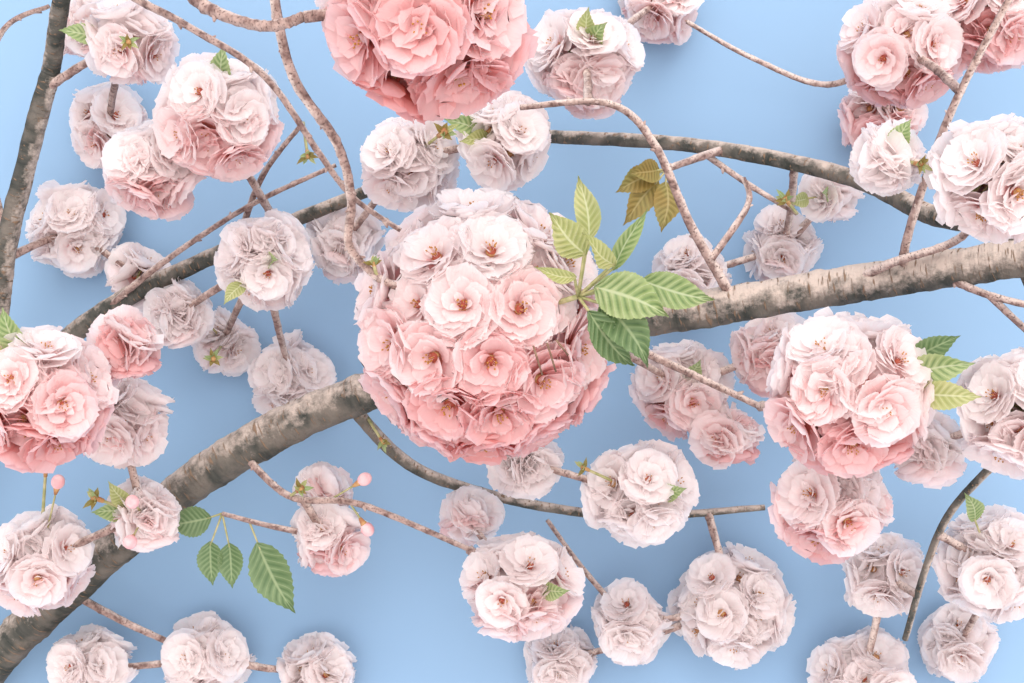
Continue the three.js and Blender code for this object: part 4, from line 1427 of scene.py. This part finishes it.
def leaf(root, tip, width, zone, rows=24, cols=8, fold=0.25, twist=0.0, sway=0.0, pleat=0.022):
    """A leaf from its foot to its tip.

    Fold lifts its edges, twist turns it, sway bends it sideways, and pleat is how deep its folds
    between the side veins are.
    """
    axis, length = (tip - root).normalized(), (tip - root).length
    side, face = across(axis)
    if face.z < 0:
        side = -side
    bm = mapped_grid(cols, rows)
    for v in bm.verts:
        u, t = 2 * v.co.x, v.co.y + 0.5
        turned = Matrix.Rotation(twist * (t - 0.35), 3, axis) @ side
        up = axis.cross(turned)
        tooth = 0
        if abs(u) > 0.99 and 0.1 < t < 0.92:
            tooth = min(0.04, 0.9 / rows) * (1 if round(t * rows) % 2 else -1)
        half = width / 2 * (np.interp(t, *LEAF_OUTLINE) + tooth)
        rise = length * LEAF_BOW * 4 * t * t * (1 - t) + fold * abs(u) * half
        wave = math.cos(2 * math.pi * VEINS * (t - VEIN_SLANT * abs(u)))
        rise += pleat * width * min(1, 2.5 * abs(u)) * wave
        middle = root.lerp(tip, t) + side * (sway * length * math.sin(math.pi * t))
        v.co = middle + turned * (u * half) + up * rise
    bmesh.ops.remove_doubles(bm, verts=bm.verts, dist=1e-4)
    return shape_of(bm, zone)


print("a leaf has", len(leaf(Vector((0, 0, 0)), Vector((60, 0, 0)), 25, LIME).sizes), "faces")

# %% [markdown]
# All four leaf colours share one pattern, so it is a node group too. From the leaf's own map it
# takes how far a point is from the midrib, slants the side veins by it, and puts out masks of the
# veins, the midrib and the valleys between the veins, where painted shade darkens the creases, and a
# height in which the veins are sunk.

# %% The leaf veins' node group
group, given, result = new_group(
    "side veins",
    [("Veins", "NodeSocketFloat", float(VEINS))],
    [("Vein", "NodeSocketFloat"), ("Midrib", "NodeSocketFloat"), ("Valley", "NodeSocketFloat"),
     ("Height", "NodeSocketFloat")],
)
side, up = node(group, "ShaderNodeSeparateXYZ", {"Vector": own_map(group)}).outputs[:2]
off_middle = math_node(group, "ABSOLUTE", math_node(group, "SUBTRACT", side, 0.5))
from_rib = math_node(group, "MULTIPLY", off_middle, 2.0)
slanted = math_node(group, "SUBTRACT", up, math_node(group, "MULTIPLY", from_rib, VEIN_SLANT))
wave = math_node(group, "FRACT", math_node(group, "MULTIPLY", slanted, given.outputs["Veins"]))
crest = math_node(group, "ABSOLUTE", math_node(group, "SUBTRACT", wave, 0.5))
vein = ramp(group, crest, fade(0.40, 0.48))
rib = ramp(group, from_rib, fade(0.10, 0.03))
# The valley mask carries painted shade, which darkens the creases between the side veins.
painted_valley_shade = math_node(group, "MULTIPLY", ramp(group, crest, fade(0.34, 0.04)),
                   ramp(group, from_rib, fade(0.95, 0.55)))
height = math_node(group, "SUBTRACT", 1.0, math_node(group, "MAXIMUM", vein, rib))
for label, source in (("Vein", vein), ("Midrib", rib), ("Valley", painted_valley_shade), ("Height", height)):
    group.links.new(source, result.inputs[label])
SIDE_VEINS = group
print("group", group.name)

# %% [markdown]
# A leaf has a mottled face, valleys darkened with painted shade, and paler veins, and lets some light
# through, a young lime one the most. Its gloss is that of a leaf that has only just opened.

# %% Leaf materials
def leaf_material(name, face, patch, painted_valley_shade, vein, through):
    material, tree, shader = new_material(name)
    veins = node(tree, "ShaderNodeGroup", node_tree=SIDE_VEINS)
    mottle = node(tree, "ShaderNodeTexNoise", {"Vector": own_place(tree)}, Scale=60.0, Detail=4.0)
    flesh = ramp(tree, mottle.outputs["Fac"], [(0.4, face), (0.65, patch)])
    # Painted shade: the valleys between the veins are darkened.
    base = mix(tree, math_node(tree, "MULTIPLY", veins.outputs["Valley"], 0.75), flesh, painted_valley_shade)
    lined = mix(tree, math_node(tree, "MULTIPLY", veins.outputs["Vein"], 0.45), base, vein)
    tone = mix(tree, math_node(tree, "MULTIPLY", veins.outputs["Midrib"], 0.8), lined, vein)
    bump = node(tree, "ShaderNodeBump", {"Height": veins.outputs["Height"]},
                Strength=0.4, Distance=0.0005)
    tree.links.new(tone, shader.inputs["Base Color"])
    tree.links.new(bump.outputs[0], shader.inputs["Normal"])
    shader.inputs["Roughness"].default_value = 0.42
    shader.inputs["Specular IOR Level"].default_value = 0.3
    thin = node(tree, "ShaderNodeBsdfTranslucent", {"Color": tone, "Normal": bump.outputs[0]})
    let_through(tree, shader, thin, through)
    return material


LEAF_LOOKS = (  # name, face, patch, valley, vein, and the share of light let through
    ("leaf_lime", (0.5, 0.53, 0.22), (0.62, 0.62, 0.3), (0.34, 0.38, 0.12), (0.74, 0.76, 0.46), 0.4),
    ("leaf_fresh", (0.35, 0.45, 0.18), (0.47, 0.55, 0.27), (0.14, 0.24, 0.08), (0.6, 0.66, 0.4), 0.32),
    ("leaf_dark", (0.14, 0.22, 0.09), (0.21, 0.3, 0.14), (0.08, 0.15, 0.055), (0.34, 0.42, 0.22), 0.22),
    ("leaf_bronze", (0.36, 0.25, 0.07), (0.33, 0.29, 0.09), (0.2, 0.15, 0.04), (0.48, 0.38, 0.16), 0.3),
)
LEAVES = [leaf_material(*look) for look in LEAF_LOOKS]
print("leaf finishes", [m.name for m in LEAVES])

# %% [markdown]
# A leaf grows from the nearest ball's middle, or from the end of a twig, on a stalk of its own, and
# is folded, turned and bent a little at random. Hung leaves have their whole line told, because the
# photo shows them one by one. The bronze shoot has no blossom, so its leaves are its own piece.

# %% Leaves of the clusters
def lobe_centres(cluster):
    """The middles of a cluster's balls. The bronze shoot has no blooms, and so no ball to rest on."""
    width = cluster["bloom"]
    return [lobe_centre(lobe, width) if width else Vector(lobe[:3]) for lobe in cluster["lobes"]]


for name, cluster in CLUSTERS.items():
    width = cluster["bloom"]
    starts = lobe_centres(cluster) + [Vector(twig[-1]) for twig in cluster.get("twigs", [])]
    looks, grown = seeded(name + "_leaves"), []
    for index, (x, y, z, across_leaf) in enumerate(cluster.get("leaves", [])):
        tip = Vector((x, y, z))
        foot_at = min(starts, key=lambda start: (start - tip).length)
        foot = tip.lerp(foot_at, min(0.8, 2.4 * across_leaf / (foot_at - tip).length))
        zone = BRONZE if not width else (FRESH, LIME, DARK)[index % 3]
        turns = dict(fold=0.2 + 0.3 * looks(), twist=1.2 * (looks() - 0.5), sway=0.16 * (looks() - 0.5))
        grown.append(leaf(foot, tip, across_leaf * 1.08, zone, **turns))
        stalks.append(tube([foot_at, foot.lerp(tip, 0.1)], (2.4, 1.6), GREEN_STALK, 5, 3))
    for start, foot, tip, across_leaf in cluster.get("hung", []):
        foot, tip = Vector(foot), Vector(tip)
        turns = dict(fold=0.15 + 0.2 * looks(), sway=0.1 * (looks() - 0.5))
        grown.append(leaf(foot, tip, across_leaf, DARK, **turns))
        stalks.append(tube([start, foot.lerp(tip, 0.1)], (2.0, 1.5), GREEN_STALK, 5, 3))
    if not width:
        piece(name + "_leaves", joined(grown), LEAVES, [name])
    else:
        blades.extend(grown)
print("leaves on clusters", len(blades))

# %% [markdown]
# The tuft beside the middle cluster is the largest green thing in the picture, so each of its
# leaves has its own colour, fold, twist and sway, and is made finely and deeply pleated.

# %% The tuft by the middle cluster
TUFT_LOOKS = (  # colour, fold, twist and sway
    (LIME, 0.30, 0.5, 0.06), (LIME, 0.45, -0.6, -0.05), (LIME, 0.60, 1.2, 0.08),
    (FRESH, 1.30, 0.3, 0.04), (FRESH, 0.25, 0.4, -0.04), (FRESH, 0.22, -0.3, 0.04),
    (DARK, 0.30, -0.5, 0.06), (DARK, 0.40, 0.6, -0.05), (LIME, 0.50, 0.4, 0.08),
)
shoot = Vector(TUFT["shoot"])
grown = []
for (root, tip, width), (zone, fold, twist, sway) in zip(TUFT["leaves"], TUFT_LOOKS):
    root, tip = Vector(root), Vector(tip)
    turns = dict(fold=fold, twist=twist, sway=sway)
    grown.append(leaf(root, tip, width * 1.06, zone, rows=44, cols=14, pleat=0.05, **turns))
    stalks.append(tube([shoot, root.lerp(tip, 0.06)], (2.8, 2.0), GREEN_STALK, 6, 3))
stalks.append(tube([HEART, shoot], (4.6, 3.6), GREEN_STALK, 8, 4))
piece("middle_leaf_tuft", joined(grown), LEAVES, ["middle_leaves"])
print("leaves", len(blades) + len(grown))

# %% [markdown]
# ## Buds and scale tufts
# Where a spur or a bunch of stalks begins, the opened bud scales stay on as a small tuft, orange and
# green, often with a late bud or two. A tuft here is a stalk from the limb or ball that carries it,
# a few narrow leaves round its end, and a scaly base. A late bud is a round pink knob on a stalk.

# %% Scale tufts and late buds
TUFTS = [  # where the stalk starts, where it ends, and the tuft's size
    ((-118, 124, 116), (-52, 157, 224), 13), ((-292, 232, 196), (-284, 222, 240), 10),
    ((-178, -124, 148), (-168, -117, 160), 11), ((-372, -172, 166), (-362, -100, 186), 10),
    ((-254, 0, 23), (-246, -14, 112), 11), ((-167, 175, 150), (-160, 146, 176), 10),
    ((232, 104, 128), (222, 114, 136), 11), ((252, 122, 350), (266, 116, 376), 9),
    ((-118, -62, 124), (-104, -80, 146), 9), ((101, -120, 162), (56, -98, 190), 9),
    ((-91, 43, 340), (-93, 52, 346), 8), ((-288, -136, 176), (-318, -120, 204), 12),
]
BUDS = [  # where the stalk starts and ends
    ((-288, -136, 176), (-286, -122, 218)), ((-288, -136, 176), (-288, -150, 216)),
    ((-148, -128, 156), (-120, -111, 162)), ((-128, -129, 161), (-117, -146, 158)),
    ((-254, 0, 23), (-262, 22, 84)), ((-372, -172, 166), (-352, -112, 190)),
]
looks = seeded("scale_tufts")
for start, end, size in TUFTS:
    start, end = Vector(start), Vector(end)
    way = (end - start).normalized()
    bowed = (start + end) / 2 + Vector((0, 0, 1))
    stalks.append(tube([start, bowed, end], (3.0, 2.4), GREEN_STALK, 6, 5))
    base = cone(-0.9, 0.5, 0.26, 0.34, 8, RED_SCALE)
    stalks.append(base.moved(frame_matrix(end, way, 0, size * 0.6)))
    for k in range(7):
        one, two = across(way, 0.9 * k + looks())
        out = (one + way * (0.25 + 0.9 * looks())).normalized()
        tip = end + out * size * (0.7 + 0.5 * looks())
        zone = BRONZE if k % 3 == 0 else LIME if k % 2 else FRESH
        blades.append(leaf(end, tip, size * 0.36, zone, rows=10, cols=4, fold=0.5, twist=looks() - 0.5))
for start, end in BUDS:
    start, end = Vector(start), Vector(end)
    way = (end - start).normalized()
    stalks.append(tube([start, end], (1.8, 1.6), GREEN_STALK, 5, 3))
    stalks.append(cone(-0.9, 0.15, 0.16, 0.42, 8, RED_SCALE).moved(frame_matrix(end, way, 0, 8)))
    stalks.append(ball(BUD_PINK).moved(frame_matrix(end + way * 4, way, 0, 10.5)))
piece("young_leaves", joined(blades), LEAVES)
print("tufts", len(TUFTS), "late buds", len(BUDS))

# %% [markdown]
# ## Spurs and stalks
# The spurs grow from their limb to the middle of the first ball, and from there to the other balls,
# bowed up a little, as in the solids. Their bark is young, and the bloom stalks are green and brown.

# %% Spurs
BEFORE = 0.04  # a spur leaves its limb this share of the limb's length before the ball's nearest place
for name, cluster in CLUSTERS.items():
    centres = lobe_centres(cluster)
    path, by = LIMBS[cluster["on"]]["path"], cluster.get("by")
    nearest = nearest_share(path, Vector(by[0]) if by else centres[0])
    root = along(path, cluster.get("at", max(BEFORE, nearest - BEFORE)))
    ways = [spur_path(root, centres[0], by)] + [spur_path(centres[0], centre) for centre in centres[1:]]
    for index, way in enumerate(ways):
        stalks.append(limb_shape(f"{name}_spur_{index}", way, SPUR_WIDTH, 0.1, TWIG))
    for index, way in enumerate(cluster.get("twigs", [])):
        stalks.append(limb_shape(f"{name}_twig_{index}", way, TWIG_WIDTH, 0.1, TWIG))
tip = along(LIMBS[MIDDLE["on"]]["path"], 1)
stalks.append(limb_shape("middle_spur", spur_path(tip, HEART), (5.6, 5.6), 0.1, TWIG))
shape = on_floor(joined(stalks))
piece("spurs_and_stalks", shape, WOOD)
print("spurs and stalks", len(shape.sizes), "faces")

# %% [markdown]
# ## The size of what was made
# The dressed bough may stand a little proud of its solids, as petals do, and no more. Both boxes are
# printed.

# %% Sizes
new_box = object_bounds()
[[list(corner) for corner in box] for box in (cad_box, new_box)]
for label, box in (("before", cad_box), ("after", new_box)):
    print("box", label, [round(v, 3) for corner in box for v in corner])
made = [o.data for o in bpy.data.objects if o.type == "MESH" and "solid" not in o.name]
print("triangles", sum(len(face.vertices) - 2 for mesh in made for face in mesh.polygons))
